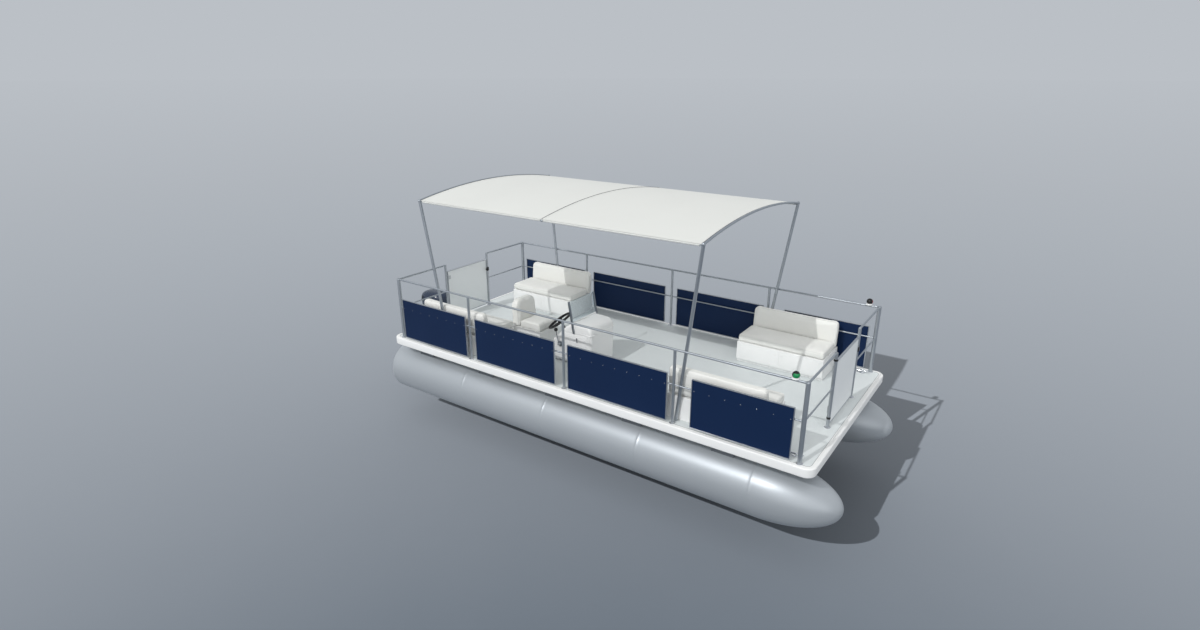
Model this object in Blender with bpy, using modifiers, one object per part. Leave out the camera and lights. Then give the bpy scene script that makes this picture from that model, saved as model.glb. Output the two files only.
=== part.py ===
"""Pontoon boat with a railed deck, a fabric canopy, a helm and a tilting outboard motor.

Lengths are in metres. The bow is at +X, port at +Y, and the pontoons rest on z = 0.
Places along and across the boat are counted from the centre of the deck, and heights
from the deck's top, unless a name says otherwise.
"""
import math

import bmesh
import bpy
from mathutils import Matrix, Vector

# Clearances
SEAT = 0.0003
SWING = 0.008
PIN_PLAY = 0.0005

# Pontoons
PONTOON_RADIUS = 0.325
PONTOON_STERN = -3.000
PONTOON_BARREL = 5.310
NOSE_LENGTH = 0.800
STERN_ROUNDING = 0.045
SADDLE_RISE = 0.1088
SADDLE_LENGTH = 0.250
SADDLE_TOP = 0.200
SADDLE_FOOT = 0.300
SADDLE_WALL = 0.012

# Under frame and deck
BEAM_COUNT = 5
BEAM_SPACING = 1.090
FIRST_BEAM = -2.440
BEAM_HEIGHT = 0.078
BEAM_FLANGE = 0.060
BEAM_WALL = 0.006
STRINGER_Y = 0.190
STRINGER_INSET = 0.002
DECK_LENGTH = 5.760
DECK_BEAM = 2.580
DECK_THICKNESS = 0.022
DECK_CORNER = 0.100
EDGE_WIDTH = 0.050
EDGE_HEIGHT = 0.100
EDGE_ROUNDING = 0.014

# Rails, panels and gates
RAIL_END_INSET = 0.1555
RAIL_INSET = 0.065
RAIL_TOP = 0.806
RAIL_MIDDLE = 0.430
RAIL_RADIUS = 0.016
MIDDLE_RADIUS = 0.011
CORNER_RADIUS = 0.0225
INNER_POSTS = (-1.455, 0.000, 1.396)
FLANGE_RADIUS = 0.034
FLANGE_HEIGHT = 0.006
GATE_POST_Y = 0.410
PANEL_LOW = 0.020
PANEL_HIGH = 0.555
PANEL_THICKNESS = 0.018
PANEL_TRIM = 0.010
PANEL_RECESS = 0.005
PANEL_SPANS = ((-2.660, -1.500), (-1.345, -0.110), (0.070, 1.334), (1.605, 2.640))
GATE_LOW = 0.030
GATE_HIGH = 0.720
GATE_THICKNESS = 0.024
GATE_TRIM = 0.022
HINGE_HEIGHTS = (0.160, 0.600)
KNUCKLE_LENGTH = 0.050
KNUCKLE_RADIUS = 0.008
LUG_HEIGHT = 0.012
LATCH_HEIGHT = 0.573
LATCH_BALL = 0.019

# Canopy
CANOPY_STERN = -2.156
CANOPY_BOW = 1.647
CANOPY_INSET = 0.055
CANOPY_EDGE = 1.905
CANOPY_CROWN = 0.115
CLOTH = 0.005
HOOP_RADIUS = 0.012
LEG_RADIUS = 0.018
LEG_FLANGE = 0.004
KNUCKLE_BALL = 0.020
LEG_RAKE = 0.250
LEG_SPREAD = 0.081
SIDE_TUBE_RADIUS = 0.009

# Benches
BENCH_SPANS = (("bow", 1.260, 2.350), ("stern", -2.400, -1.280))
BENCH_INSET = 0.160
BENCH_DEPTH = 0.545
BASE_HEIGHT = 0.262
BASE_SETBACK = 0.030
SEAT_THICKNESS = 0.100
BACKREST_THICKNESS = 0.105
BACKREST_TOP = 0.600
BACKREST_RAKE = 0.024
TOE_HEIGHT = 0.070
TOE_DEPTH = 0.045

# Helm
HELM_OUTBOARD = 0.025
CONSOLE_HALF = 0.240
CONSOLE_BOW = -0.030
CONSOLE_STERN = -0.620
CONSOLE_KNEE = 0.270
CONSOLE_TOP = 0.540
CONSOLE_NOSE = 0.490
CONSOLE_NOSE_RADIUS = 0.095
DASH_RUN = 0.200
SCREEN_FOOT_X = -0.250
SCREEN_LEAN = 0.110
SCREEN_HEIGHT = 0.260
SCREEN_THICKNESS = 0.006
SCREEN_HALF = 0.262
SCREEN_STRIP = 0.0217
SCREEN_STRIP_THICKNESS = 0.014
SCREEN_STRIP_DROP = 0.120
SCREEN_BAR_THICKNESS = 0.012
SCREEN_BAR_LOW = -0.014
SCREEN_BAR_HIGH = 0.010
SCREEN_GROOVE = 0.007
WHEEL_RADIUS = 0.170
WHEEL_RIM = 0.013
WHEEL_HUB = 0.034
WHEEL_TILT = math.radians(45)
WHEEL_X = -0.690
WHEEL_Z = 0.420
SPOKES = 3
SHAFT_RADIUS = 0.012
THROTTLE_X = -0.500
THROTTLE_Z = 0.235
THROTTLE_LENGTH = 0.185
THROTTLE_LEAN = math.radians(14)
THROTTLE_BALL = 0.020
CHAIR_GAP = 0.010
CHAIR_STERN = -1.372
CHAIR_FRONT = -0.875
CHAIR_HALF = 0.190

# Lamps and cleats
LAMP_INBOARD = 0.1175
LAMP_RADIUS = 0.036
LAMP_FOOT = 0.008
CLEAT_END_INSET = 0.240
CLEAT_INBOARD = 0.095
CLEAT_LENGTH = 0.180
CLEAT_HEIGHT = 0.042
CLEAT_RADIUS = 0.010

# Motor pod and outboard motor; its heights are counted from the transom's top
POD_BOW = -2.560
TRANSOM_X = -3.160
TRANSOM_THICKNESS = 0.045
TRANSOM_WIDTH = 0.440
POD_DEPTH = 0.420
TILT_AFT = 0.040
TILT_RISE = 0.022
TILT_TUBE_RADIUS = 0.012
CLAMP_HALF = 0.100
CLAMP_PLATE = 0.014
CLAMP_DEPTH = 0.270
STEER_AFT = 0.105
SWIVEL_RADIUS = 0.036
SWIVEL_TOP = -0.030
SWIVEL_BOTTOM = -0.255
KING_RADIUS = 0.020
PLATE_DEPTH = 0.381
GEARCASE_DROP = 0.145
GEARCASE_RADIUS = 0.042
GEARCASE_LENGTH = 0.330
SKEG_DROP = 0.270
LEG_AFT = 0.232
COWL_FRONT_AFT = 0.045
COWL_LENGTH = 0.500
COWL_HALF_WIDTH = 0.160
COWL_LOW = 0.084
COWL_HIGH = 0.300
COWL_WALL = 0.004
PAN_LOW = 0.054
YOKE_HALF = 0.024
YOKE_THICKNESS = 0.024
YOKE_GAP = 0.006
KNUCKLE_BARREL = 0.019
PROP_RADIUS = 0.120
PROP_HUB = 0.036
PROP_LENGTH = 0.085
PROP_BLADES = 3
PROP_PITCH = 0.280
BLADE_THICKNESS = 0.005

# Sizes that follow from those above
DECK_TOP = 2 * PONTOON_RADIUS + SADDLE_RISE + BEAM_HEIGHT + DECK_THICKNESS + 4 * SEAT
BEAM_TOP = -DECK_THICKNESS - SEAT
BEAM_UNDERSIDE = BEAM_TOP - BEAM_HEIGHT
PONTOON_AXIS = PONTOON_RADIUS - DECK_TOP
NOSE_START = PONTOON_STERN + PONTOON_BARREL
BOW_REACH = NOSE_START + NOSE_LENGTH
BEAM_PLACES = [FIRST_BEAM + i * BEAM_SPACING for i in range(BEAM_COUNT)]
TRANSOM_TOP = BEAM_UNDERSIDE - SEAT
COWL_BACK = TRANSOM_X - COWL_FRONT_AFT - COWL_LENGTH
BOAT_MIDDLE = (BOW_REACH + COWL_BACK) / 2
SEAT_TOP = BASE_HEIGHT + SEAT + SEAT_THICKNESS
PONTOON_Y = DECK_BEAM / 2 - PONTOON_RADIUS
RAIL_X = DECK_LENGTH / 2 - RAIL_END_INSET
RAIL_Y = DECK_BEAM / 2 - RAIL_INSET
PANEL_Y = RAIL_Y + MIDDLE_RADIUS + SEAT + PANEL_THICKNESS / 2
CLEAT_X = DECK_LENGTH / 2 - CLEAT_END_INSET
CLEAT_Y = RAIL_Y - CLEAT_INBOARD
LAMP_X = RAIL_X - LAMP_INBOARD
CANOPY_HALF = DECK_BEAM / 2 - CANOPY_INSET
LEG_FOOT_Y = CANOPY_HALF - LEG_SPREAD
CANOPY_ARC = (CANOPY_HALF ** 2 + CANOPY_CROWN ** 2) / (2 * CANOPY_CROWN)
BENCH_BACK = DECK_BEAM / 2 - BENCH_INSET
BENCH_FRONT = BENCH_BACK - BENCH_DEPTH
CHAIR_Y = CHAIR_GAP + CHAIR_HALF - BENCH_FRONT
HELM_Y = CHAIR_Y - HELM_OUTBOARD

# Local XY outlines stood up: across the boat and up, or along the boat and up
ACROSS = Matrix(((0, 0, 1, 0), (1, 0, 0, 0), (0, 1, 0, 0), (0, 0, 0, 1)))
ALONG = Matrix.Rotation(math.radians(90), 4, "X")

for old in list(bpy.data.objects):
    bpy.data.objects.remove(old)

boat = bpy.data.collections.new("pontoon_boat")
cutters = bpy.data.collections.new("cutters")
for group in (boat, cutters):
    bpy.context.scene.collection.children.link(group)


def finish(name, colour, roughness, metallic=0.0, alpha=1.0):
    material = bpy.data.materials.new(name)
    material.use_nodes = True
    shader = material.node_tree.nodes["Principled BSDF"]
    shader.inputs["Base Color"].default_value = (*colour, 1)
    shader.inputs["Roughness"].default_value = roughness
    shader.inputs["Metallic"].default_value = metallic
    shader.inputs["Alpha"].default_value = alpha
    material.diffuse_color = (*colour, alpha)
    return material


BRUSHED = finish("brushed_aluminium", (0.40, 0.43, 0.47), 0.35, 1.0)
RAIL_METAL = finish("rail_aluminium", (0.45, 0.48, 0.52), 0.30, 1.0)
CHANNEL = finish("frame_channel", (0.30, 0.32, 0.34), 0.50, 1.0)
DECKING = finish("deck_vinyl", (0.58, 0.62, 0.61), 0.70)
WHITE = finish("white_gelcoat", (0.80, 0.80, 0.78), 0.35)
NAVY = finish("navy_panel", (0.010, 0.024, 0.068), 0.40)
GATE_WHITE = finish("gate_sheet", (0.52, 0.56, 0.57), 0.45)
CLOTH_WHITE = finish("canopy_cloth", (0.76, 0.76, 0.72), 0.85)
VINYL = finish("seat_vinyl", (0.76, 0.75, 0.70), 0.55)
CLEAR = finish("clear_sheet", (0.60, 0.66, 0.70), 0.05, 0.0, 0.35)
BLACK = finish("black_plastic", (0.012, 0.012, 0.013), 0.45)
CHROME = finish("bright_fittings", (0.75, 0.76, 0.78), 0.12, 1.0)
COWL_BLUE = finish("cowl_paint", (0.016, 0.024, 0.045), 0.30)
LEG_GREY = finish("motor_leg_paint", (0.030, 0.036, 0.050), 0.40)
ENGINE = finish("engine_castings", (0.20, 0.20, 0.21), 0.60, 0.6)
LENS = finish("lamp_housing", (0.015, 0.015, 0.016), 0.35)


def datum(name, place, parent=None):
    empty = bpy.data.objects.new(name, None)
    empty.location = place
    empty.parent = parent
    boat.objects.link(empty)
    return empty


def cleaned(mesh):
    """Closes the loose seams of a mesh and turns its faces outwards."""
    bm = bmesh.new()
    bm.from_mesh(mesh)
    bmesh.ops.remove_doubles(bm, verts=bm.verts, dist=1e-5)
    bmesh.ops.recalc_face_normals(bm, faces=bm.faces)
    bm.to_mesh(mesh)
    bm.free()
    return mesh


def evaluated(data, modifiers=()):
    """The mesh of a curve or mesh after its modifiers, given as (type, settings) pairs."""
    carrier = bpy.data.objects.new("carrier", data)
    cutters.objects.link(carrier)
    for kind, settings in modifiers:
        modifier = carrier.modifiers.new(kind, kind)
        for key, value in settings.items():
            setattr(modifier, key, value)
    graph = bpy.context.evaluated_depsgraph_get()
    mesh = bpy.data.meshes.new_from_object(carrier.evaluated_get(graph))
    bpy.data.objects.remove(carrier)
    return cleaned(mesh)


def moved(mesh, place=(0, 0, 0), turn=None):
    mesh.transform(Matrix.Translation(place) @ (turn or Matrix.Identity(4)))
    return mesh


def block(low, high):
    """A box between two opposite corners."""
    low, high = Vector(low), Vector(high)
    bm = bmesh.new()
    bmesh.ops.create_cube(bm, size=1)
    bmesh.ops.scale(bm, vec=high - low, verts=bm.verts)
    bmesh.ops.translate(bm, vec=(low + high) / 2, verts=bm.verts)
    mesh = bpy.data.meshes.new("block")
    bm.to_mesh(mesh)
    bm.free()
    return mesh


def round_bar(start, end, radius, sides=12, end_radius=None):
    """A round bar, or a cone, between two points."""
    start, end = Vector(start), Vector(end)
    run = end - start
    bm = bmesh.new()
    bmesh.ops.create_cone(
        bm,
        cap_ends=True,
        segments=sides,
        radius1=radius,
        radius2=radius if end_radius is None else end_radius,
        depth=run.length,
    )
    mesh = bpy.data.meshes.new("bar")
    bm.to_mesh(mesh)
    bm.free()
    return moved(mesh, (start + end) / 2, run.to_track_quat("Z", "Y").to_matrix().to_4x4())


def ball(centre, radius):
    bm = bmesh.new()
    bmesh.ops.create_uvsphere(bm, u_segments=12, v_segments=7, radius=radius)
    mesh = bpy.data.meshes.new("ball")
    bm.to_mesh(mesh)
    bm.free()
    return moved(mesh, centre)


def tube(path, radius):
    """A round tube along a chain of points."""
    curve = bpy.data.curves.new("path", "CURVE")
    curve.dimensions = "3D"
    curve.bevel_depth = radius
    curve.bevel_resolution = 3
    curve.use_fill_caps = True
    spline = curve.splines.new("POLY")
    spline.points.add(len(path) - 1)
    for point, place in zip(spline.points, path):
        point.co = (*place, 1)
    return evaluated(curve)


def plate(outlines, thickness, turn=None, place=(0, 0, 0)):
    """A flat piece, half its thickness each side of z = 0; outlines after the first are holes."""
    curve = bpy.data.curves.new("outline", "CURVE")
    curve.dimensions = "2D"
    curve.fill_mode = "BOTH"
    curve.extrude = thickness / 2
    for outline in outlines:
        spline = curve.splines.new("POLY")
        spline.points.add(len(outline) - 1)
        for point, (x, y) in zip(spline.points, outline):
            point.co = (x, y, 0, 1)
        spline.use_cyclic_u = True
    mesh = evaluated(curve)
    bm = bmesh.new()
    bm.from_mesh(mesh)
    bmesh.ops.dissolve_limit(bm, angle_limit=math.radians(0.5), verts=bm.verts, edges=bm.edges)
    bm.to_mesh(mesh)
    bm.free()
    return moved(mesh, place, turn)


def rounded(corners, steps=4):
    """A closed outline whose (x, y, radius) corners are turned into arcs."""
    outline = []
    for i, (x, y, radius) in enumerate(corners):
        here = Vector((x, y))
        if radius <= 0:
            outline.append(here)
            continue
        before = (Vector(corners[i - 1][:2]) - here).normalized()
        after = (Vector(corners[(i + 1) % len(corners)][:2]) - here).normalized()
        half = before.angle(after) / 2
        middle = here + (before + after).normalized() * (radius / math.sin(half))
        first = here + before * (radius / math.tan(half)) - middle
        last = here + after * (radius / math.tan(half)) - middle
        sweep = first.angle_signed(last)
        for k in range(steps + 1):
            outline.append(middle + Matrix.Rotation(-sweep * k / steps, 2) @ first)
    return outline


def rectangle(half_x, half_y, radius=0.0):
    signs = ((1, 1), (-1, 1), (-1, -1), (1, -1))
    return rounded([(sx * half_x, sy * half_y, radius) for sx, sy in signs])


def turned(profile, sides):
    """A (radius, height) profile, from its top down, turned about Z."""
    mesh = bpy.data.meshes.new("profile")
    edges = [(i, i + 1) for i in range(len(profile) - 1)]
    mesh.from_pydata([(radius, 0, height) for radius, height in profile], edges, [])
    screw = {
        "steps": sides,
        "render_steps": sides,
        "use_merge_vertices": True,
        "merge_threshold": 1e-5,
    }
    return evaluated(mesh, [("SCREW", screw)])


def loft(rings):
    """A closed skin over rings of equally many points."""
    bm = bmesh.new()
    loops = [[bm.verts.new(point) for point in ring] for ring in rings]
    for lower, upper in zip(loops, loops[1:]):
        for i in range(len(lower)):
            j = (i + 1) % len(lower)
            bm.faces.new((lower[i], lower[j], upper[j], upper[i]))
    bm.faces.new(loops[0][::-1])
    bm.faces.new(loops[-1])
    mesh = bpy.data.meshes.new("loft")
    bm.to_mesh(mesh)
    bm.free()
    return cleaned(mesh)


def welded(pieces, cuts=()):
    """One solid: overlapping pieces joined, then the cuts taken out of it."""
    tools = []
    for operation, meshes in (("UNION", pieces[1:]), ("DIFFERENCE", cuts)):
        for mesh in meshes:
            tool = bpy.data.objects.new("tool", mesh)
            cutters.objects.link(tool)
            tools.append((operation, tool))
    steps = [
        ("BOOLEAN", {"operation": operation, "object": tool, "solver": "EXACT"})
        for operation, tool in tools
    ]
    mesh = evaluated(pieces[0], steps)
    for _, tool in tools:
        bpy.data.objects.remove(tool)
    return mesh


def softened(mesh, width, segments=2):
    """The mesh with its sharp edges rounded."""
    bevel = {"width": width, "segments": segments, "limit_method": "ANGLE"}
    return evaluated(mesh, [("BEVEL", bevel)])


def part(name, mesh, material, parent, place=(0, 0, 0)):
    """One sub-part. Its mesh is given about its parent, and is put about its own origin."""
    mesh.name = name
    mesh.transform(Matrix.Translation(-Vector(place)))
    mesh.materials.clear()
    mesh.materials.append(material)
    mesh.shade_smooth()
    mesh.set_sharp_from_angle(angle=math.radians(32))
    obj = bpy.data.objects.new(name, mesh)
    obj.location = place
    obj.parent = parent
    boat.objects.link(obj)
    return obj


deck_datum = datum("deck_datum", (-BOAT_MIDDLE, 0, DECK_TOP))
SIDES = (("starboard", -1), ("port", 1))
ENDS = (("bow", 1), ("stern", -1))


def pontoon_profile():
    """Nose, barrel and lightly rounded stern, from the tip down, along the log."""
    steps = 8
    profile = []
    for k in range(steps + 1):
        angle = math.pi / 2 * k / steps
        profile.append((PONTOON_RADIUS * math.sin(angle), NOSE_START + NOSE_LENGTH * math.cos(angle)))
    for k in range(4):
        angle = math.pi / 2 * k / 3
        profile.append(
            (
                PONTOON_RADIUS - STERN_ROUNDING * (1 - math.cos(angle)),
                PONTOON_STERN + STERN_ROUNDING * (1 - math.sin(angle)),
            )
        )
    profile.append((0, PONTOON_STERN))
    return profile


def saddle(x, y):
    """The open riser bracket welded on top of a log, which carries one cross beam."""
    top = PONTOON_RADIUS + SADDLE_RISE
    foot = math.sqrt(PONTOON_RADIUS ** 2 - (SADDLE_FOOT / 2) ** 2) - SADDLE_WALL
    floor = math.sqrt(PONTOON_RADIUS ** 2 - (SADDLE_FOOT / 2) ** 2) - 2 * SADDLE_WALL
    outer = [
        (-SADDLE_TOP / 2, top),
        (-SADDLE_FOOT / 2, foot),
        (-SADDLE_FOOT / 2, floor - SADDLE_WALL),
        (SADDLE_FOOT / 2, floor - SADDLE_WALL),
        (SADDLE_FOOT / 2, foot),
        (SADDLE_TOP / 2, top),
    ]
    inner = [
        (-SADDLE_TOP / 2 + SADDLE_WALL, top - SADDLE_WALL),
        (-SADDLE_FOOT / 2 + SADDLE_WALL, foot),
        (SADDLE_FOOT / 2 - SADDLE_WALL, foot),
        (SADDLE_TOP / 2 - SADDLE_WALL, top - SADDLE_WALL),
    ]
    return plate([outer, inner], SADDLE_LENGTH, ACROSS, (x, y, PONTOON_AXIS))


for side, sign in SIDES:
    lie_along = Matrix.Rotation(math.radians(90), 4, "Y")
    log = moved(turned(pontoon_profile(), 32), (0, sign * PONTOON_Y, PONTOON_AXIS), lie_along)
    risers = [saddle(x, sign * PONTOON_Y) for x in BEAM_PLACES]
    axis = (0, sign * PONTOON_Y, PONTOON_AXIS)
    part("pontoon_" + side, welded([log] + risers), BRUSHED, deck_datum, axis)


def channel_outline():
    """C-section of a cross beam, with its open side towards the bow."""
    half, wall = BEAM_FLANGE / 2, BEAM_WALL
    return [
        (-half, 0),
        (half, 0),
        (half, wall),
        (-half + wall, wall),
        (-half + wall, BEAM_HEIGHT - wall),
        (half, BEAM_HEIGHT - wall),
        (half, BEAM_HEIGHT),
        (-half, BEAM_HEIGHT),
    ]


inner_half_beam = DECK_BEAM / 2 - EDGE_WIDTH - SEAT
inner_half_length = DECK_LENGTH / 2 - EDGE_WIDTH - SEAT
stringer_low = BEAM_UNDERSIDE + STRINGER_INSET
stringer_high = BEAM_TOP - STRINGER_INSET
beams = [
    plate([channel_outline()], 2 * inner_half_beam - BEAM_WALL, ALONG, (x, 0, BEAM_UNDERSIDE))
    for x in BEAM_PLACES
]
side_channels = [
    block(
        (-inner_half_length + DECK_CORNER, sign * inner_half_beam - BEAM_WALL * (sign > 0), stringer_low),
        (inner_half_length - DECK_CORNER, sign * inner_half_beam + BEAM_WALL * (sign < 0), stringer_high),
    )
    for _, sign in SIDES
]
motor_stringers = [
    block(
        (-inner_half_length, sign * STRINGER_Y - BEAM_WALL, stringer_low),
        (BEAM_PLACES[1], sign * STRINGER_Y + BEAM_WALL, stringer_high),
    )
    for _, sign in SIDES
]
part("under_frame", welded(beams[:1] + side_channels + beams[1:] + motor_stringers), CHANNEL, deck_datum)

deck_outline = rectangle(inner_half_length, inner_half_beam, DECK_CORNER - EDGE_WIDTH)
deck_place = (0, 0, -DECK_THICKNESS / 2)
part("deck", plate([deck_outline], DECK_THICKNESS, place=deck_place), DECKING, deck_datum, deck_place)

edge_place = (0, 0, -EDGE_HEIGHT / 2)
edge_outer = plate([rectangle(DECK_LENGTH / 2, DECK_BEAM / 2, DECK_CORNER)], EDGE_HEIGHT, place=edge_place)
edge_inner = plate(
    [rectangle(DECK_LENGTH / 2 - EDGE_WIDTH, DECK_BEAM / 2 - EDGE_WIDTH, DECK_CORNER - EDGE_WIDTH)],
    2 * EDGE_HEIGHT,
    place=edge_place,
)
part("deck_edge", welded([softened(edge_outer, EDGE_ROUNDING)], [edge_inner]), WHITE, deck_datum, edge_place)


def post(x, y, radius, top):
    """A rail post on its round foot flange."""
    return [
        round_bar((x, y, SEAT), (x, y, top), radius),
        round_bar((x, y, SEAT), (x, y, FLANGE_HEIGHT), FLANGE_RADIUS),
    ]


for side, sign in SIDES:
    y = sign * RAIL_Y
    pieces = [round_bar((-RAIL_X, y, RAIL_TOP), (RAIL_X, y, RAIL_TOP), RAIL_RADIUS)]
    pieces.append(round_bar((-RAIL_X, y, RAIL_MIDDLE), (RAIL_X, y, RAIL_MIDDLE), MIDDLE_RADIUS, 12))
    for x in INNER_POSTS:
        pieces += post(x, y, RAIL_RADIUS * 0.98, RAIL_TOP)
    for x in (-RAIL_X, RAIL_X):
        pieces += post(x, y, CORNER_RADIUS, RAIL_TOP + CORNER_RADIUS)
    part("rail_" + side, welded(pieces), RAIL_METAL, deck_datum, (0, y, 0))

gate_edge = GATE_POST_Y - RAIL_RADIUS - SWING
pin_y = -gate_edge - KNUCKLE_RADIUS + SWING / 2


def pin_x(end):
    """The gate pins stand just inboard of the gates."""
    return end * (RAIL_X - GATE_THICKNESS / 2 - KNUCKLE_RADIUS)


def hinge_lugs(end):
    """Pairs of ears on a gate post, above and below each knuckle of the gate."""
    lugs = []
    for height in HINGE_HEIGHTS:
        for low in (height - SEAT - LUG_HEIGHT, height + KNUCKLE_LENGTH + SEAT):
            reach = Vector((pin_x(end) - end * RAIL_X, pin_y + GATE_POST_Y))
            turn = Matrix.Rotation(math.atan2(reach.y, reach.x), 4, "Z")
            ear = plate(
                [rounded([
                    (0, -KNUCKLE_RADIUS, 0),
                    (reach.length + KNUCKLE_RADIUS, -KNUCKLE_RADIUS, KNUCKLE_RADIUS * 0.9),
                    (reach.length + KNUCKLE_RADIUS, KNUCKLE_RADIUS, KNUCKLE_RADIUS * 0.9),
                    (0, KNUCKLE_RADIUS, 0),
                ])],
                LUG_HEIGHT,
                turn,
                (end * RAIL_X, -GATE_POST_Y, low + LUG_HEIGHT / 2),
            )
            lugs.append(ear)
    return lugs


for end_name, end in ENDS:
    for side, sign in SIDES:
        x = end * RAIL_X
        pieces = [round_bar((x, sign * RAIL_Y, RAIL_TOP), (x, sign * GATE_POST_Y, RAIL_TOP), RAIL_RADIUS)]
        pieces.append(
            round_bar((x, sign * RAIL_Y, RAIL_MIDDLE), (x, sign * GATE_POST_Y, RAIL_MIDDLE), MIDDLE_RADIUS, 12)
        )
        pieces += post(x, sign * GATE_POST_Y, RAIL_RADIUS * 1.02, RAIL_TOP + RAIL_RADIUS)
        if sign < 0:
            pieces += hinge_lugs(end)
        corner = round_bar(
            (x, sign * RAIL_Y, -RAIL_TOP), (x, sign * RAIL_Y, 2 * RAIL_TOP), CORNER_RADIUS + SEAT, 32
        )
        side_rail = round_bar(
            (-2 * RAIL_X, sign * RAIL_Y, RAIL_TOP), (2 * RAIL_X, sign * RAIL_Y, RAIL_TOP), RAIL_RADIUS + SEAT
        )
        name = "rail_" + end_name + "_" + side
        part(name, welded(pieces, [corner, side_rail]), RAIL_METAL, deck_datum, (x, sign * GATE_POST_Y, 0))


def framed_sheet(width, height, thickness, trim, recess):
    """An upright sheet across the Y direction, with a raised trim round both faces."""
    bm = bmesh.new()
    bmesh.ops.create_cube(bm, size=1)
    bmesh.ops.scale(bm, vec=(width, thickness, height), verts=bm.verts)
    faces = [face for face in bm.faces if abs(face.normal.y) > 0.5]
    bmesh.ops.inset_individual(bm, faces=faces, thickness=trim, depth=-recess)
    mesh = bpy.data.meshes.new("sheet")
    bm.to_mesh(mesh)
    bm.free()
    return mesh


for side, sign in SIDES:
    for number, (stern, bow) in enumerate(PANEL_SPANS, 1):
        place = ((stern + bow) / 2, sign * PANEL_Y, (PANEL_LOW + PANEL_HIGH) / 2)
        sheet = framed_sheet(bow - stern, PANEL_HIGH - PANEL_LOW, PANEL_THICKNESS, PANEL_TRIM, PANEL_RECESS)
        part("panel_%s_%d" % (side, number), moved(sheet, place), NAVY, deck_datum, place)

for end_name, end in ENDS:
    middle = (end * RAIL_X, 0, (GATE_LOW + GATE_HIGH) / 2)
    sheet = framed_sheet(2 * gate_edge, GATE_HIGH - GATE_LOW, GATE_THICKNESS, GATE_TRIM, PANEL_RECESS)
    pieces = [moved(sheet, middle, Matrix.Rotation(math.radians(90), 4, "Z"))]
    pin = (pin_x(end), pin_y)
    inboard = end * (RAIL_X - GATE_THICKNESS / 2)
    for height in HINGE_HEIGHTS:
        pieces.append(round_bar((*pin, height), (*pin, height + KNUCKLE_LENGTH), KNUCKLE_RADIUS))
        low = (inboard + end * PANEL_RECESS, pin_y, height)
        high = (inboard - end * KNUCKLE_RADIUS, -gate_edge + 2 * GATE_TRIM, height + KNUCKLE_LENGTH)
        pieces.append(block([min(a, b) for a, b in zip(low, high)], [max(a, b) for a, b in zip(low, high)]))
    knob_x = inboard - end * (SWING + LATCH_BALL)
    stem_y = gate_edge - GATE_TRIM / 2
    pieces.append(
        round_bar((inboard + end * PANEL_RECESS, stem_y, LATCH_HEIGHT), (knob_x, stem_y, LATCH_HEIGHT), LATCH_BALL / 2)
    )
    pieces.append(ball((knob_x, stem_y, LATCH_HEIGHT), LATCH_BALL))
    hinge = datum("gate_hinge_" + end_name, (*pin, 0), deck_datum)
    gate = part("gate_" + end_name, moved(welded(pieces), (-pin[0], -pin[1], 0)), GATE_WHITE, hinge)


def canopy_height(y):
    """Height of the cloth's middle over the deck, on one arc across the boat."""
    return CANOPY_EDGE + CANOPY_CROWN - CANOPY_ARC + math.sqrt(CANOPY_ARC ** 2 - y ** 2)


def arc_points(x, half, drop, steps=12):
    places = [-half + 2 * half * k / steps for k in range(steps + 1)]
    return [(x, y, canopy_height(y) - drop) for y in places]


# Canopy hoops: name, place of the arch, place of its feet
HOOPS = (
    ("bow", CANOPY_BOW, CANOPY_BOW - LEG_RAKE),
    ("stern", CANOPY_STERN, CANOPY_STERN + LEG_RAKE),
)


def leg_and_knuckle(x, foot_x, sign, spare=0.0):
    """One leg of a hoop with the ball knuckle at its top, made larger by the spare."""
    corner = (x, sign * CANOPY_HALF, CANOPY_EDGE)
    foot = (foot_x, sign * LEG_FOOT_Y, SEAT + FLANGE_HEIGHT / 2)
    return [round_bar(foot, corner, LEG_RADIUS + spare), ball(corner, KNUCKLE_BALL + spare)]


def end_hoop(x, foot_x):
    """One bow of the canopy frame, with both its legs down to the deck."""
    pieces = [tube(arc_points(x, CANOPY_HALF, 0), HOOP_RADIUS)]
    for _, sign in SIDES:
        pieces += leg_and_knuckle(x, foot_x, sign)
        flange_top = (foot_x, sign * LEG_FOOT_Y, FLANGE_HEIGHT)
        pieces.append(round_bar((foot_x, sign * LEG_FOOT_Y, SEAT), flange_top, LEG_RADIUS + LEG_FLANGE))
    floor_cut = block((foot_x - 1, -2, -1), (foot_x + 1, 2, SEAT))
    return welded(pieces, [floor_cut])


for end_name, x, foot_x in HOOPS:
    part("canopy_hoop_" + end_name, end_hoop(x, foot_x), RAIL_METAL, deck_datum, (x, 0, CANOPY_EDGE))

canopy_middle = (CANOPY_BOW + CANOPY_STERN) / 2
middle_drop = CLOTH / 2 + SEAT + HOOP_RADIUS
side_y = CANOPY_HALF - SIDE_TUBE_RADIUS
side_z = canopy_height(side_y) - middle_drop
pieces = [tube(arc_points(canopy_middle, side_y, middle_drop), HOOP_RADIUS)]
for _, sign in SIDES:
    stern_end = CANOPY_STERN + LEG_RADIUS / 2
    bow_end = CANOPY_BOW - LEG_RADIUS / 2
    pieces.append(round_bar((stern_end, sign * side_y, side_z), (bow_end, sign * side_y, side_z), SIDE_TUBE_RADIUS))


def leg_cuts():
    """Room for the legs and knuckles in what meets them."""
    cuts = []
    for _, x, foot_x in HOOPS:
        for _, sign in SIDES:
            cuts += leg_and_knuckle(x, foot_x, sign, SEAT)
    return cuts


part("canopy_frame_middle", welded(pieces, leg_cuts()), RAIL_METAL, deck_datum, (canopy_middle, 0, CANOPY_EDGE))

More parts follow.
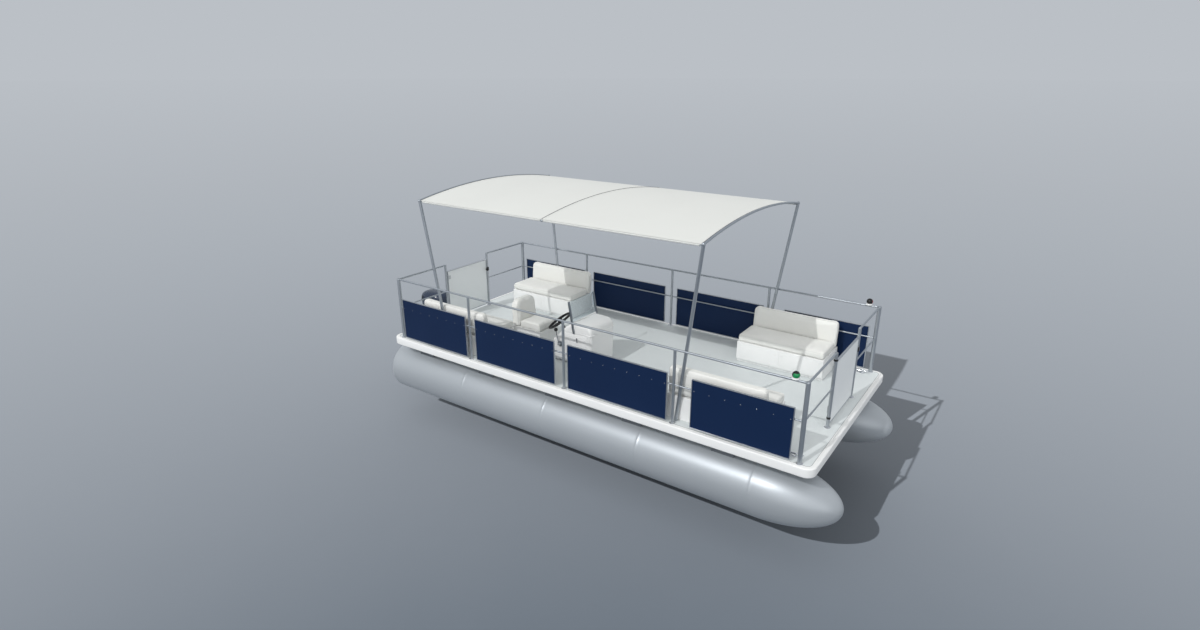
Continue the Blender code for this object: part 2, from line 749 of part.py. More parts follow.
cloth_stern = CANOPY_STERN + HOOP_RADIUS + SEAT
cloth_bow = CANOPY_BOW - HOOP_RADIUS - SEAT
cloth_half = CANOPY_HALF
ring_stern, ring_bow = [
    [(x, y, z + CLOTH / 2) for x, y, z in arc_points(x, cloth_half, 0, 20)]
    + [(x, y, z - CLOTH / 2) for x, y, z in reversed(arc_points(x, cloth_half, 0, 20))]
    for x in (cloth_stern, cloth_bow)
]
part("canopy_cloth", welded([loft([ring_stern, ring_bow])], leg_cuts()), CLOTH_WHITE, deck_datum, (canopy_middle, 0, CANOPY_EDGE))


def bench_base(length, front, back):
    """Moulded box with a toe recess along its front."""
    outline = [
        (front + TOE_DEPTH, SEAT),
        (back, SEAT),
        (back, BASE_HEIGHT),
        (front, BASE_HEIGHT),
        (front, TOE_HEIGHT),
        (front + TOE_DEPTH, TOE_HEIGHT),
    ]
    return softened(plate([outline], length, ACROSS), 0.010, 1)


def seat_cushion(length, front, back):
    """Flat pad with a rolled front edge."""
    low, high = BASE_HEIGHT + SEAT, SEAT_TOP
    roll = (high - low) * 0.45
    outline = rounded([(front, low, roll * 0.6), (back, low, 0.008), (back, high, 0.012), (front, high, roll)], 3)
    return softened(plate([outline], length, ACROSS), 0.014, 2)


def backrest(length, front, back):
    """Leaning pad with a crowned top, which stands on the base behind the cushion."""
    low = BASE_HEIGHT + SEAT
    outline = rounded(
        [
            (front, low, 0.008),
            (back, low, 0.008),
            (back + BACKREST_RAKE, BACKREST_TOP, 0.030),
            (front + BACKREST_RAKE + 0.012, BACKREST_TOP, 0.040),
        ],
        3,
    )
    return softened(plate([outline], length, ACROSS), 0.014, 2)


for end_name, stern, bow in BENCH_SPANS:
    for side, sign in SIDES:
        middle = (stern + bow) / 2
        place = (middle, sign * (BENCH_FRONT + BENCH_BACK) / 2, 0)
        face_outboard = Matrix.Diagonal((1, sign, 1, 1))
        pad_back = BENCH_BACK - BACKREST_THICKNESS - SEAT
        bench = "bench_%s_%s_" % (end_name, side)
        pieces = (
            ("base", bench_base(bow - stern - 2 * BASE_SETBACK, BENCH_FRONT + BASE_SETBACK, BENCH_BACK), WHITE),
            ("cushion", seat_cushion(bow - stern, BENCH_FRONT, pad_back), VINYL),
            ("back", backrest(bow - stern, BENCH_BACK - BACKREST_THICKNESS, BENCH_BACK), VINYL),
        )
        for piece_name, mesh, material in pieces:
            mesh.transform(Matrix.Translation((middle, 0, 0)) @ face_outboard)
            part(bench + piece_name, cleaned(mesh), material, deck_datum, place)

chair_place = (CHAIR_STERN, CHAIR_Y, 0)
to_bow = Matrix.Translation((0, CHAIR_Y, 0)) @ Matrix.Rotation(math.radians(90), 4, "Z")
chair_back = -CHAIR_STERN - BACKREST_RAKE
chair_pieces = (
    ("base", bench_base(2 * (CHAIR_HALF - BASE_SETBACK), -CHAIR_FRONT + BASE_SETBACK, chair_back), WHITE),
    ("cushion", seat_cushion(2 * CHAIR_HALF, -CHAIR_FRONT, chair_back - BACKREST_THICKNESS - SEAT), VINYL),
    ("back", backrest(2 * CHAIR_HALF, chair_back - BACKREST_THICKNESS, chair_back), VINYL),
)
for piece_name, mesh, material in chair_pieces:
    part("helm_seat_" + piece_name, moved(mesh, turn=to_bow), material, deck_datum, chair_place)

dash_top_x = CONSOLE_STERN + DASH_RUN
console_outline = rounded(
    [
        (CONSOLE_STERN, SEAT, 0),
        (CONSOLE_BOW, SEAT, 0),
        (CONSOLE_BOW, CONSOLE_NOSE, CONSOLE_NOSE_RADIUS),
        (SCREEN_FOOT_X, CONSOLE_TOP, 0.060),
        (dash_top_x, CONSOLE_KNEE + DASH_RUN, 0.050),
        (CONSOLE_STERN, CONSOLE_KNEE, 0.040),
    ]
)
console_mesh = softened(plate([console_outline], 2 * CONSOLE_HALF, ALONG, (0, HELM_Y, 0)), 0.022, 3)
wheel_centre = Vector((WHEEL_X, HELM_Y, WHEEL_Z))
wheel_axis = Vector((-math.cos(WHEEL_TILT), 0, math.sin(WHEEL_TILT)))
dash_reach = (CONSOLE_STERN - CONSOLE_KNEE - WHEEL_X + WHEEL_Z) / math.sqrt(2)
bezel_face = wheel_centre - wheel_axis * (dash_reach - 0.030)
bezel = round_bar(wheel_centre - wheel_axis * (dash_reach + 0.020), bezel_face, 0.048, 24, 0.036)
shaft_end = wheel_centre - wheel_axis * (dash_reach + 0.004)
shaft_hole = round_bar(shaft_end - wheel_axis * 0.006, wheel_centre, SHAFT_RADIUS + PIN_PLAY, 24)

screen_foot = Vector((SCREEN_FOOT_X, HELM_Y, CONSOLE_TOP))
screen_turn = Matrix.Rotation(-math.atan2(SCREEN_LEAN, SCREEN_HEIGHT), 4, "Y") @ ACROSS
screen_length = math.hypot(SCREEN_LEAN, SCREEN_HEIGHT)
strip_inner = SCREEN_HALF - SCREEN_STRIP


def screen_sheet(spare=0.0):
    """The clear sheet, which stands in the grooves of its frame, made larger by the spare."""
    half = strip_inner + SCREEN_GROOVE + spare
    low = SCREEN_BAR_HIGH - SCREEN_GROOVE - spare
    outline = [(-half, low), (half, low), (half, screen_length + spare), (-half, screen_length + spare)]
    return plate([outline], SCREEN_THICKNESS + 2 * spare, screen_turn, screen_foot)


def screen_bar(spare=0.0):
    """The foot bar of the frame, let into the console's top, made larger by the spare."""
    half = SCREEN_HALF - SCREEN_STRIP / 4
    outline = [
        (-half, SCREEN_BAR_LOW - spare),
        (half, SCREEN_BAR_LOW - spare),
        (half, SCREEN_BAR_HIGH),
        (-half, SCREEN_BAR_HIGH),
    ]
    return plate([outline], SCREEN_BAR_THICKNESS + 2 * spare, screen_turn, screen_foot)


strips = [
    plate(
        [rectangle(SCREEN_STRIP / 2, (screen_length + SCREEN_STRIP_DROP) / 2, SCREEN_STRIP / 4)],
        SCREEN_STRIP_THICKNESS,
        screen_turn @ Matrix.Translation(
            (sign * (SCREEN_HALF - SCREEN_STRIP / 2), (screen_length - SCREEN_STRIP_DROP) / 2, 0)
        ),
        screen_foot,
    )
    for _, sign in SIDES
]
console_cuts = [shaft_hole, screen_bar(SEAT)]
part("console", welded([console_mesh, bezel], console_cuts), WHITE, deck_datum, (CONSOLE_BOW, HELM_Y, 0))
frame_mesh = welded([screen_bar()] + strips, [screen_sheet(SEAT)])
part("windscreen_frame", frame_mesh, RAIL_METAL, deck_datum, screen_foot)
part("windscreen", screen_sheet(), CLEAR, deck_datum, screen_foot)

rim = bpy.data.meshes.new("rim")
rim_steps = 28
rim_rings = []
for k in range(rim_steps):
    angle = 2 * math.pi * k / rim_steps
    out = Vector((math.cos(angle), math.sin(angle), 0))
    ring = []
    for j in range(8):
        turn = 2 * math.pi * j / 8
        ring.append(out * (WHEEL_RADIUS + WHEEL_RIM * math.cos(turn)) + Vector((0, 0, WHEEL_RIM * math.sin(turn))))
    rim_rings.append(ring)
bm = bmesh.new()
loops = [[bm.verts.new(point) for point in ring] for ring in rim_rings]
for k in range(rim_steps):
    here, after = loops[k], loops[(k + 1) % rim_steps]
    for j in range(8):
        bm.faces.new((here[j], after[j], after[(j + 1) % 8], here[(j + 1) % 8]))
bm.to_mesh(rim)
bm.free()
pieces = [cleaned(rim)]
for k in range(SPOKES):
    angle = 2 * math.pi * k / SPOKES + math.pi / 2
    out = Vector((math.cos(angle), math.sin(angle), 0))
    pieces.append(round_bar(Vector((0, 0, -0.012)), out * WHEEL_RADIUS, 0.010, 10))
pieces.append(round_bar((0, 0, -0.030), (0, 0, 0.012), WHEEL_HUB, 24, WHEEL_HUB * 0.8))
pieces.append(round_bar((0, 0, -dash_reach - 0.004), (0, 0, 0), SHAFT_RADIUS))
wheel_turn = Vector((0, 0, 1)).rotation_difference(wheel_axis)
wheel_datum = datum("wheel_axis", wheel_centre, deck_datum)
wheel = part("steering_wheel", welded(pieces), BLACK, wheel_datum)
wheel.rotation_euler = wheel_turn.to_euler()

lever_side = HELM_Y - CONSOLE_HALF - SEAT
lever_y = lever_side - 0.026
lever_foot = Vector((THROTTLE_X, lever_y, THROTTLE_Z))
lever_top = lever_foot + THROTTLE_LENGTH * Vector((-math.sin(THROTTLE_LEAN), 0, math.cos(THROTTLE_LEAN)))
pieces = [
    round_bar((THROTTLE_X, lever_side, THROTTLE_Z), (THROTTLE_X, lever_side - 0.018, THROTTLE_Z), 0.036, 24),
    round_bar((THROTTLE_X, lever_side - 0.010, THROTTLE_Z), (THROTTLE_X, lever_y - 0.012, THROTTLE_Z), 0.018),
    round_bar(lever_foot, lever_top, 0.008),
    ball(lever_top, THROTTLE_BALL),
]
part("throttle_lever", welded(pieces), BLACK, deck_datum, lever_foot)

for side, sign in SIDES:
    base = RAIL_TOP + RAIL_RADIUS
    place = (LAMP_X, sign * RAIL_Y, base)
    pieces = [
        block((LAMP_X - 0.030, sign * RAIL_Y - 0.024, base + SEAT), (LAMP_X + 0.030, sign * RAIL_Y + 0.024, base + LAMP_FOOT)),
        ball((LAMP_X, sign * RAIL_Y, base + LAMP_FOOT * 0.5 + LAMP_RADIUS), LAMP_RADIUS),
    ]
    part("nav_lamp_" + side, welded(pieces), LENS, deck_datum, place)

for end_name, end in ENDS:
    for side, sign in SIDES:
        x, y = end * CLEAT_X, sign * CLEAT_Y
        horn = CLEAT_LENGTH / 2
        top = CLEAT_HEIGHT - CLEAT_RADIUS
        pieces = [
            tube([(x - horn, y, top), (x - horn / 2, y, top - 0.004), (x + horn / 2, y, top - 0.004), (x + horn, y, top)], CLEAT_RADIUS),
            block((x - 0.045, y - 0.016, SEAT), (x + 0.045, y + 0.016, 0.006)),
            round_bar((x - 0.025, y, SEAT), (x - 0.025, y, top), CLEAT_RADIUS * 0.9),
            round_bar((x + 0.025, y, SEAT), (x + 0.025, y, top), CLEAT_RADIUS * 0.9),
        ]
        part("cleat_%s_%s" % (end_name, side), welded(pieces), CHROME, deck_datum, (x, y, 0))

# The pod carries the transom that the motor is clamped to.
transom = datum("transom_top", (TRANSOM_X, 0, TRANSOM_TOP), deck_datum)
pod_run = POD_BOW - TRANSOM_X
pod_outline = rounded(
    [
        (0, -POD_DEPTH, 0.030),
        (pod_run, -POD_DEPTH * 0.25, 0.030),
        (pod_run, 0, 0),
        (0, 0, 0),
    ]
)
part("motor_pod", softened(plate([pod_outline], TRANSOM_WIDTH, ALONG), 0.006, 1), BRUSHED, transom)

tilt_place = Vector((-TILT_AFT, 0, TILT_RISE))
clamp_outline = rounded(
    [
        (-SEAT, -CLAMP_DEPTH, 0),
        (-SEAT, SEAT, 0),
        (TRANSOM_THICKNESS, SEAT, 0),
        (TRANSOM_THICKNESS, 0.030, 0.014),
        (-TILT_AFT - 0.022, 0.042, 0.018),
        (-TILT_AFT - 0.022, -0.020, 0.018),
        (-0.030, -CLAMP_DEPTH, 0.008),
    ]
)
pieces = [plate([clamp_outline], CLAMP_PLATE, ALONG, (0, sign * CLAMP_HALF, 0)) for _, sign in SIDES]
pieces.insert(
    0,
    round_bar(
        (tilt_place.x, -CLAMP_HALF - CLAMP_PLATE, tilt_place.z),
        (tilt_place.x, CLAMP_HALF + CLAMP_PLATE, tilt_place.z),
        TILT_TUBE_RADIUS,
        24,
    ),
)
pieces.append(block((-0.016, -CLAMP_HALF, -CLAMP_DEPTH + 0.010), (-SEAT, CLAMP_HALF, -CLAMP_DEPTH + 0.060)))
part("clamp_bracket", welded(pieces), LEG_GREY, transom)

tilt = datum("motor_tilt_axis", tilt_place, transom)
steer_x = -STEER_AFT - tilt_place.x
swivel_top = SWIVEL_TOP - tilt_place.z
swivel_bottom = SWIVEL_BOTTOM - tilt_place.z
knuckle_half = CLAMP_HALF - CLAMP_PLATE / 2 - 0.001
pieces = [
    round_bar((steer_x, 0, swivel_bottom), (steer_x, 0, swivel_top), SWIVEL_RADIUS, 28),
    round_bar((0, -knuckle_half, 0), (0, knuckle_half, 0), KNUCKLE_BARREL, 24),
    block((steer_x, -0.040, swivel_top - 0.075), (0.004, 0.040, 0)),
]
cuts = [
    round_bar((steer_x, 0, swivel_bottom - 0.1), (steer_x, 0, swivel_top + 0.1), KING_RADIUS + PIN_PLAY, 28),
    round_bar((0, -1, 0), (0, 1, 0), TILT_TUBE_RADIUS + PIN_PLAY, 24),
    block((steer_x - 0.1, -0.1, swivel_top), (steer_x + SWIVEL_RADIUS + 0.004, 0.1, 0.2)),
]
part("swivel_bracket", welded(pieces, cuts), LEG_GREY, tilt)

steer = datum("motor_steer_axis", (steer_x, 0, 0), tilt)


def from_steer(x_aft, z):
    """A place given aft of the transom and above its top, seen from the steering axis."""
    return (-x_aft - steer_x - tilt_place.x, z - tilt_place.z)


def oval(centre_x, half_length, half_width, z, power=2.4, count=28):
    """One rounded, slightly squared section of the motor's housing."""
    ring = []
    for k in range(count):
        angle = 2 * math.pi * k / count
        c, s = math.cos(angle), math.sin(angle)
        x = centre_x + half_length * math.copysign(abs(c) ** (2 / power), c)
        y = half_width * math.copysign(abs(s) ** (2 / power), s)
        ring.append((x, y, z))
    return ring


cowl_middle_aft = COWL_FRONT_AFT + COWL_LENGTH / 2
cowl_x, cowl_low = from_steer(cowl_middle_aft, COWL_LOW)
cowl_rise = COWL_HIGH - COWL_LOW
# Cowl sections: height share, length share, width share, shift forward
COWL_SECTIONS = (
    (0.00, 1.00, 0.94, 0.000),
    (0.30, 1.00, 1.00, 0.000),
    (0.62, 0.95, 0.96, 0.004),
    (0.84, 0.84, 0.84, 0.010),
    (0.96, 0.66, 0.62, 0.016),
    (1.00, 0.44, 0.36, 0.020),
)


def cowl_skin(shrink):
    rings = []
    for height, length, width, shift in COWL_SECTIONS:
        rings.append(
            oval(
                cowl_x + shift,
                COWL_LENGTH / 2 * length - shrink,
                COWL_HALF_WIDTH * width - shrink,
                cowl_low + cowl_rise * height - shrink * (height > 0) - 0.01 * (shrink > 0) * (height == 0),
            )
        )
    return loft(rings)


part("motor_cowl", welded([cowl_skin(0)], [cowl_skin(COWL_WALL)]), COWL_BLUE, steer)

pan_low = from_steer(0, PAN_LOW)[1]
pan_top = cowl_low - SEAT
engine_low, engine_high = cowl_low, cowl_low + cowl_rise * 0.72
engine = block((cowl_x - 0.150, -0.100, engine_low), (cowl_x + 0.140, 0.100, engine_high))
part("motor_powerhead", softened(engine, 0.012, 1), ENGINE, steer)

leg_x = from_steer(LEG_AFT, 0)[0]
plate_z = from_steer(0, -PLATE_DEPTH)[1]
gear_z = plate_z - GEARCASE_DROP
skeg_z = plate_z - SKEG_DROP
pan = loft(
    [
        oval(cowl_x, COWL_LENGTH / 2 * 0.70, COWL_HALF_WIDTH * 0.66, pan_low),
        oval(cowl_x, COWL_LENGTH / 2 * 0.93, COWL_HALF_WIDTH * 0.86, pan_low + (pan_top - pan_low) * 0.6),
        oval(cowl_x, COWL_LENGTH / 2, COWL_HALF_WIDTH * 0.94, pan_top),
    ]
)
leg = loft(
    [
        oval(leg_x, 0.055, 0.014, gear_z, 2.0, 20),
        oval(leg_x, 0.070, 0.020, plate_z, 2.0, 20),
        oval(leg_x, 0.072, 0.040, plate_z + 0.090, 2.2, 20),
        oval(leg_x, 0.080, 0.055, pan_low + 0.010, 2.4, 20),
    ]
)
torpedo_half = GEARCASE_LENGTH / 2
torpedo_profile = [(0.0, torpedo_half)]
for share, radius in ((0.94, 0.42), (0.80, 0.78), (0.55, 0.98), (0.20, 1.00), (-0.70, 0.98), (-1.00, 0.90)):
    torpedo_profile.append((GEARCASE_RADIUS * radius, torpedo_half * share))
torpedo_profile.append((0.0, -torpedo_half))
torpedo = moved(turned(torpedo_profile, 24), (leg_x, 0, gear_z), Matrix.Rotation(math.radians(90), 4, "Y"))
cavitation = plate(
    [rounded([
        (leg_x + 0.075, -0.020, 0.012),
        (leg_x + 0.075, 0.020, 0.012),
        (leg_x - 0.060, 0.085, 0.030),
        (leg_x - 0.230, 0.070, 0.030),
        (leg_x - 0.230, -0.070, 0.030),
        (leg_x - 0.060, -0.085, 0.030),
    ])],
    0.006,
    place=(0, 0, plate_z),
)
skeg = plate(
    [[
        (leg_x + 0.070, gear_z),
        (leg_x - 0.075, gear_z),
        (leg_x - 0.070, skeg_z),
        (leg_x - 0.010, skeg_z),
    ]],
    0.008,
    ALONG,
)
swivel_low = from_steer(0, SWIVEL_BOTTOM)[1]
swivel_high = from_steer(0, SWIVEL_TOP)[1]
king_overrun = YOKE_GAP + YOKE_THICKNESS / 2
king = round_bar((0, 0, swivel_low - king_overrun), (0, 0, swivel_high + king_overrun), KING_RADIUS, 28)
upper_yoke = block(
    (leg_x, -YOKE_HALF, swivel_high + YOKE_GAP),
    (YOKE_HALF, YOKE_HALF, swivel_high + YOKE_GAP + YOKE_THICKNESS),
)
lower_yoke = block(
    (leg_x, -YOKE_HALF, swivel_low - YOKE_GAP - YOKE_THICKNESS),
    (YOKE_HALF, YOKE_HALF, swivel_low - YOKE_GAP),
)
part(
    "motor_leg",
    welded([leg, pan, torpedo, cavitation, skeg, king, upper_yoke, lower_yoke]),
    LEG_GREY,
    steer,
)


def blade(turn):
    """One skewed, twisted blade of nearly constant pitch, thin at its tip."""
    stations = (
        # radius share, chord, skew back
        (0.20, 0.062, 0.000),
        (0.45, 0.092, 0.004),
        (0.70, 0.100, 0.012),
        (0.90, 0.078, 0.024),
        (1.00, 0.030, 0.034),
    )
    rings = []
    for share, chord, skew in stations:
        radius = share * PROP_RADIUS
        pitch = math.atan2(PROP_PITCH, 2 * math.pi * radius)
        thick = BLADE_THICKNESS * (1.25 - 0.6 * share)
        ring = []
        for k in range(10):
            angle = 2 * math.pi * k / 10
            along = chord / 2 * math.cos(angle) - skew
            across = thick / 2 * math.sin(angle)
            around = along * math.cos(pitch) - across * math.sin(pitch)
            axial = along * math.sin(pitch) + across * math.cos(pitch)
            wrap = around / radius
            ring.append((axial, radius * math.sin(wrap), radius * math.cos(wrap)))
        rings.append(ring)
    return moved(loft(rings), turn=Matrix.Rotation(turn, 4, "X"))


hub_profile = [(0.0, PROP_LENGTH / 2), (PROP_HUB * 0.98, PROP_LENGTH / 2), (PROP_HUB, 0), (PROP_HUB * 0.8, -PROP_LENGTH / 2), (0.0, -PROP_LENGTH / 2)]
hub = moved(turned(hub_profile, 24), turn=Matrix.Rotation(math.radians(90), 4, "Y"))
blades = [blade(2 * math.pi * k / PROP_BLADES) for k in range(PROP_BLADES)]
prop_place = (leg_x - torpedo_half - PROP_LENGTH / 2 - PIN_PLAY, 0, gear_z)
prop_axis = datum("propeller_axis", prop_place, steer)
part("propeller", welded([hub] + blades), CHROME, prop_axis)
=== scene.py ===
"""The finished look of the pontoon boat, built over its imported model.

Places are given from the middle of the deck's top, bow at +X and port at +Y, in metres.
DECK moves them to the model's own frame, where the logs stand on z = 0.
"""
import math

import bmesh
import bpy
from mathutils import Matrix, Vector
from mathutils.bvhtree import BVHTree


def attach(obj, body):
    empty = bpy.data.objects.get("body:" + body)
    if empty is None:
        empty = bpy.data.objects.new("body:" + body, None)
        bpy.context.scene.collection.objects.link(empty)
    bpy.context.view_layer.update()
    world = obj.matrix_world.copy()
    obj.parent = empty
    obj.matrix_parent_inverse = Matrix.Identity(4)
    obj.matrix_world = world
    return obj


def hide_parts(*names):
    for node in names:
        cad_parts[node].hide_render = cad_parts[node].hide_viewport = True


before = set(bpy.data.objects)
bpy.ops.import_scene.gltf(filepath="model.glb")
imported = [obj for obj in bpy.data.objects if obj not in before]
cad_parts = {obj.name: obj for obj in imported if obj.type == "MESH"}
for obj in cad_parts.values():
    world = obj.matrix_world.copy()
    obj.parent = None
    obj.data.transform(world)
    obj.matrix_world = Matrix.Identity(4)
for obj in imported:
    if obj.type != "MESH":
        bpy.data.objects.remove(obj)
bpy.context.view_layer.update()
DECK = Vector((0.2975, 0.0, 0.86))
SIDES = (("starboard", -1), ("port", 1))
ENDS = (("bow", 1), ("stern", -1))

# Studio. The boat hangs as if afloat over a plain matt floor, whose colour carries a painted
# shade that is darkest in front of the boat and fades into an even grey-blue backdrop. One hard
# lamp high to starboard casts the shadows, a broad low one and the room's own light fill them,
# and a twin of the first, on the floor alone, deepens the floor's.
EYE = Vector((4.5941, -6.6630, 4.2510))
AIM = Vector((-0.7595, 0.9960, 0.8600))
LENS = 20.27
SENSOR = 36
VIEW_END = 900
SUN_RAY = Vector((0.285, 1.175, -1.00))
NEAR_RAY = Vector((-0.45, 0.85, -0.16))
# Lamps: name, power, direction, width in degrees
LAMPS = (
    ("near_lamp", 0.62, NEAR_RAY, 70), ("sun", 1.25, SUN_RAY, 0.5), ("floor_sun", 3.05, SUN_RAY, 0.5),
)
ROOM_FILL = (0.820, 0.830, 0.840)
BACKDROP = (0.497, 0.527, 0.565)
FLOOR_DROP = 0.37
FLOOR_RADIUS = 400
FLOOR_LIGHT = 1.73
FLOOR_MOTTLE = 0.12
FLOOR_FADE = (8.0, 30.0)
# Painted shade on the floor: the point it centres on, its depth and reach, its darkest and the easing there
SHADE_POOL_CENTRE = (4.594, -6.663, 0.0)
SHADE_POOL_DEPTH = 2.12
SHADE_POOL_REACH = 1.85
SHADE_POOL_DARKEST = 0.345
SHADE_POOL_EASE = 0.08


def linked(obj):
    bpy.context.collection.objects.link(obj)
    return obj


camera_lens = bpy.data.cameras.new("camera")
camera_lens.sensor_width = SENSOR
camera_lens.lens = LENS
camera_lens.clip_end = VIEW_END
camera = linked(bpy.data.objects.new("camera", camera_lens))
camera.location = EYE
camera.rotation_euler = (AIM - EYE).to_track_quat("-Z", "Y").to_euler()
bpy.context.scene.camera = camera
bpy.context.scene.view_settings.view_transform = "Standard"

floor_only = bpy.data.collections.new("floor_only")
for name, power, ray, width in LAMPS:
    lamp = bpy.data.lights.new(name, "SUN")
    lamp.energy = power
    lamp.angle = math.radians(width)
    sun = linked(bpy.data.objects.new(name, lamp))
    sun.rotation_euler = ray.to_track_quat("-Z", "Y").to_euler()
sun.light_linking.receiver_collection = floor_only


def feed(target, inputs):
    """Sets a node's inputs, each to a constant or to another node's output."""
    for socket, value in inputs.items():
        if isinstance(value, bpy.types.NodeSocket):
            target.id_data.links.new(value, target.inputs[socket])
        else:
            target.inputs[socket].default_value = value
    return target


def added(tree, kind, inputs, **settings):
    """A new node with these settings and inputs."""
    made = tree.nodes.new(kind)
    for setting, value in settings.items():
        setattr(made, setting, value)
    return feed(made, inputs)


room = bpy.data.worlds.new("room")
bpy.context.scene.world = room
room.use_nodes = True
tree = room.node_tree
tree.nodes.clear()
rays = added(tree, "ShaderNodeLightPath", {}).outputs
seen = added(tree, "ShaderNodeMath", {0: rays["Is Camera Ray"], 1: rays["Is Glossy Ray"]}, operation="MAXIMUM")
through = added(
    tree, "ShaderNodeMath", {0: seen.outputs[0], 1: rays["Is Transmission Ray"]}, operation="MAXIMUM"
)
fill = added(tree, "ShaderNodeBackground", {"Color": (*ROOM_FILL, 1)})
backdrop = added(tree, "ShaderNodeBackground", {"Color": (*BACKDROP, 1)})
either = added(
    tree, "ShaderNodeMixShader", {"Fac": through.outputs[0], 1: fill.outputs[0], 2: backdrop.outputs[0]}
)
added(tree, "ShaderNodeOutputWorld", {"Surface": either.outputs[0]})

floor_mesh = bpy.data.meshes.new("floor")
bm = bmesh.new()
bmesh.ops.create_circle(bm, cap_ends=True, segments=96, radius=FLOOR_RADIUS)
bm.to_mesh(floor_mesh)
bm.free()
floor_paint = bpy.data.materials.new("matt_floor")
floor_paint.use_nodes = True
tree = floor_paint.node_tree
place = added(tree, "ShaderNodeTexCoord", {}).outputs["Object"]
run = added(tree, "ShaderNodeVectorMath", {0: place, 1: SHADE_POOL_CENTRE}, operation="DISTANCE")
speckle = added(tree, "ShaderNodeTexNoise", {"Vector": place, "Scale": 1.4, "Detail": 8})
mottle = added(
    tree, "ShaderNodeMapRange",
    {"Value": speckle.outputs["Fac"], "To Min": SHADE_POOL_REACH - FLOOR_MOTTLE, "To Max": SHADE_POOL_REACH + FLOOR_MOTTLE},
)
reach = added(tree, "ShaderNodeMath", {0: run.outputs["Value"], 1: mottle.outputs["Result"]}, operation="ADD")
# Painted shade: the floor's colour is darkened more the nearer it lies to the pool's centre.
painted_shade = added(tree, "ShaderNodeMath", {0: SHADE_POOL_DEPTH, 1: reach.outputs[0]}, operation="DIVIDE")
capped_shade = added(
    tree, "ShaderNodeMath", {0: painted_shade.outputs[0], 1: SHADE_POOL_DARKEST, 2: SHADE_POOL_EASE}, operation="SMOOTH_MIN"
)
tone = added(tree, "ShaderNodeVectorMath", {0: BACKDROP, 1: capped_shade.outputs[0]}, operation="SUBTRACT")
paint = added(
    tree, "ShaderNodeVectorMath", {0: tone.outputs["Vector"], "Scale": 1 / FLOOR_LIGHT}, operation="SCALE"
)
span = added(tree, "ShaderNodeVectorMath", {0: place}, operation="LENGTH")
fade = added(
    tree, "ShaderNodeMapRange",
    {"Value": span.outputs["Value"], "From Min": FLOOR_FADE[0], "From Max": FLOOR_FADE[1]},
    interpolation_type="SMOOTHSTEP",
)
# Further out the floor glows in the same painted-shade colour instead of being lit, to meet the backdrop.
glow = added(tree, "ShaderNodeEmission", {"Color": tone.outputs["Vector"]})
matt = {"Base Color": paint.outputs["Vector"], "Roughness": 0.9, "Specular IOR Level": 0.0}
shader = feed(tree.nodes["Principled BSDF"], matt)
blend = added(
    tree, "ShaderNodeMixShader",
    {"Fac": fade.outputs["Result"], 1: shader.outputs["BSDF"], 2: glow.outputs["Emission"]},
)
feed(tree.nodes["Material Output"], {"Surface": blend.outputs[0]})
floor = linked(bpy.data.objects.new("floor", floor_mesh))
floor.data.materials.append(floor_paint)
floor.location.z = -FLOOR_DROP
floor_only.objects.link(floor)


# Logs. Two rolled sheet-aluminium tubes with a spun, rounded nose welded to the front and
# a flat cap at the stern. The skin keeps a fine mill grain that runs along the log.
LOG_RADIUS = 0.325
LOG_Y = 0.965
LOG_AXIS = LOG_RADIUS - DECK.z
LOG_STERN = -3.000
LOG_SHOULDER = 2.310
LOG_NOSE = 0.800
LOG_ROUNDING = 0.045
LOG_JOINTS = (-1.640, -0.330, 0.980)
NOSE_JOINT = LOG_SHOULDER - 0.032
# Weld beads round the log: distance along it from the joint, rise
LOG_BEAD = ((0.0300, 0), (0.0032, 0), (0.0016, 0.0005), (-0.0016, 0.0005), (-0.0032, 0), (-0.0300, 0))
# The stern cap's weld: distance in from the log's side, rise
CAP_WELD = ((0.030, 0), (0.033, 0.0015), (0.036, 0))


def surface(name, colour, second, roughness, metallic=0.0, patches=3.0, grain=90.0, stretch=(1, 1, 1),
            bump=0.0, bump_grain=None, coat=0.0, sheen=0.0):
    """A finish whose colour, gloss and fine relief vary over the piece."""
    material = bpy.data.materials.new(name)
    material.use_nodes = True
    tree = material.node_tree
    place = added(tree, "ShaderNodeTexCoord", {}).outputs["Object"]
    along = added(tree, "ShaderNodeMapping", {"Vector": place, "Scale": stretch}).outputs["Vector"]
    broad = added(tree, "ShaderNodeTexNoise", {"Vector": place, "Scale": patches, "Detail": 5})
    fine = added(tree, "ShaderNodeTexNoise", {"Vector": along, "Scale": grain, "Detail": 6, "Roughness": 0.65})
    share = added(
        tree, "ShaderNodeMapRange", {"Value": broad.outputs["Fac"], "From Min": 0.35, "From Max": 0.68, "To Max": 0.5}
    )
    tone = added(
        tree, "ShaderNodeMix", {"Factor": share.outputs["Result"], "A": (*colour, 1), "B": (*second, 1)},
        data_type="RGBA",
    )
    gloss = added(
        tree, "ShaderNodeMapRange",
        {"Value": fine.outputs["Fac"], "From Min": 0.3, "From Max": 0.7, "To Min": roughness[0],
         "To Max": roughness[1]},
    )
    shader = feed(
        tree.nodes["Principled BSDF"],
        {"Base Color": tone.outputs["Result"], "Roughness": gloss.outputs["Result"], "Metallic": metallic,
         "Coat Weight": coat, "Coat Roughness": 0.08, "Sheen Weight": sheen},
    )
    if bump:
        height = fine
        if bump_grain:
            height = added(tree, "ShaderNodeTexNoise", {"Vector": along, "Scale": bump_grain, "Detail": 3})
        relief = added(
            tree, "ShaderNodeBump", {"Height": height.outputs["Fac"], "Strength": 1.0, "Distance": bump}
        )
        feed(shader, {"Normal": relief.outputs["Normal"]})
    return material


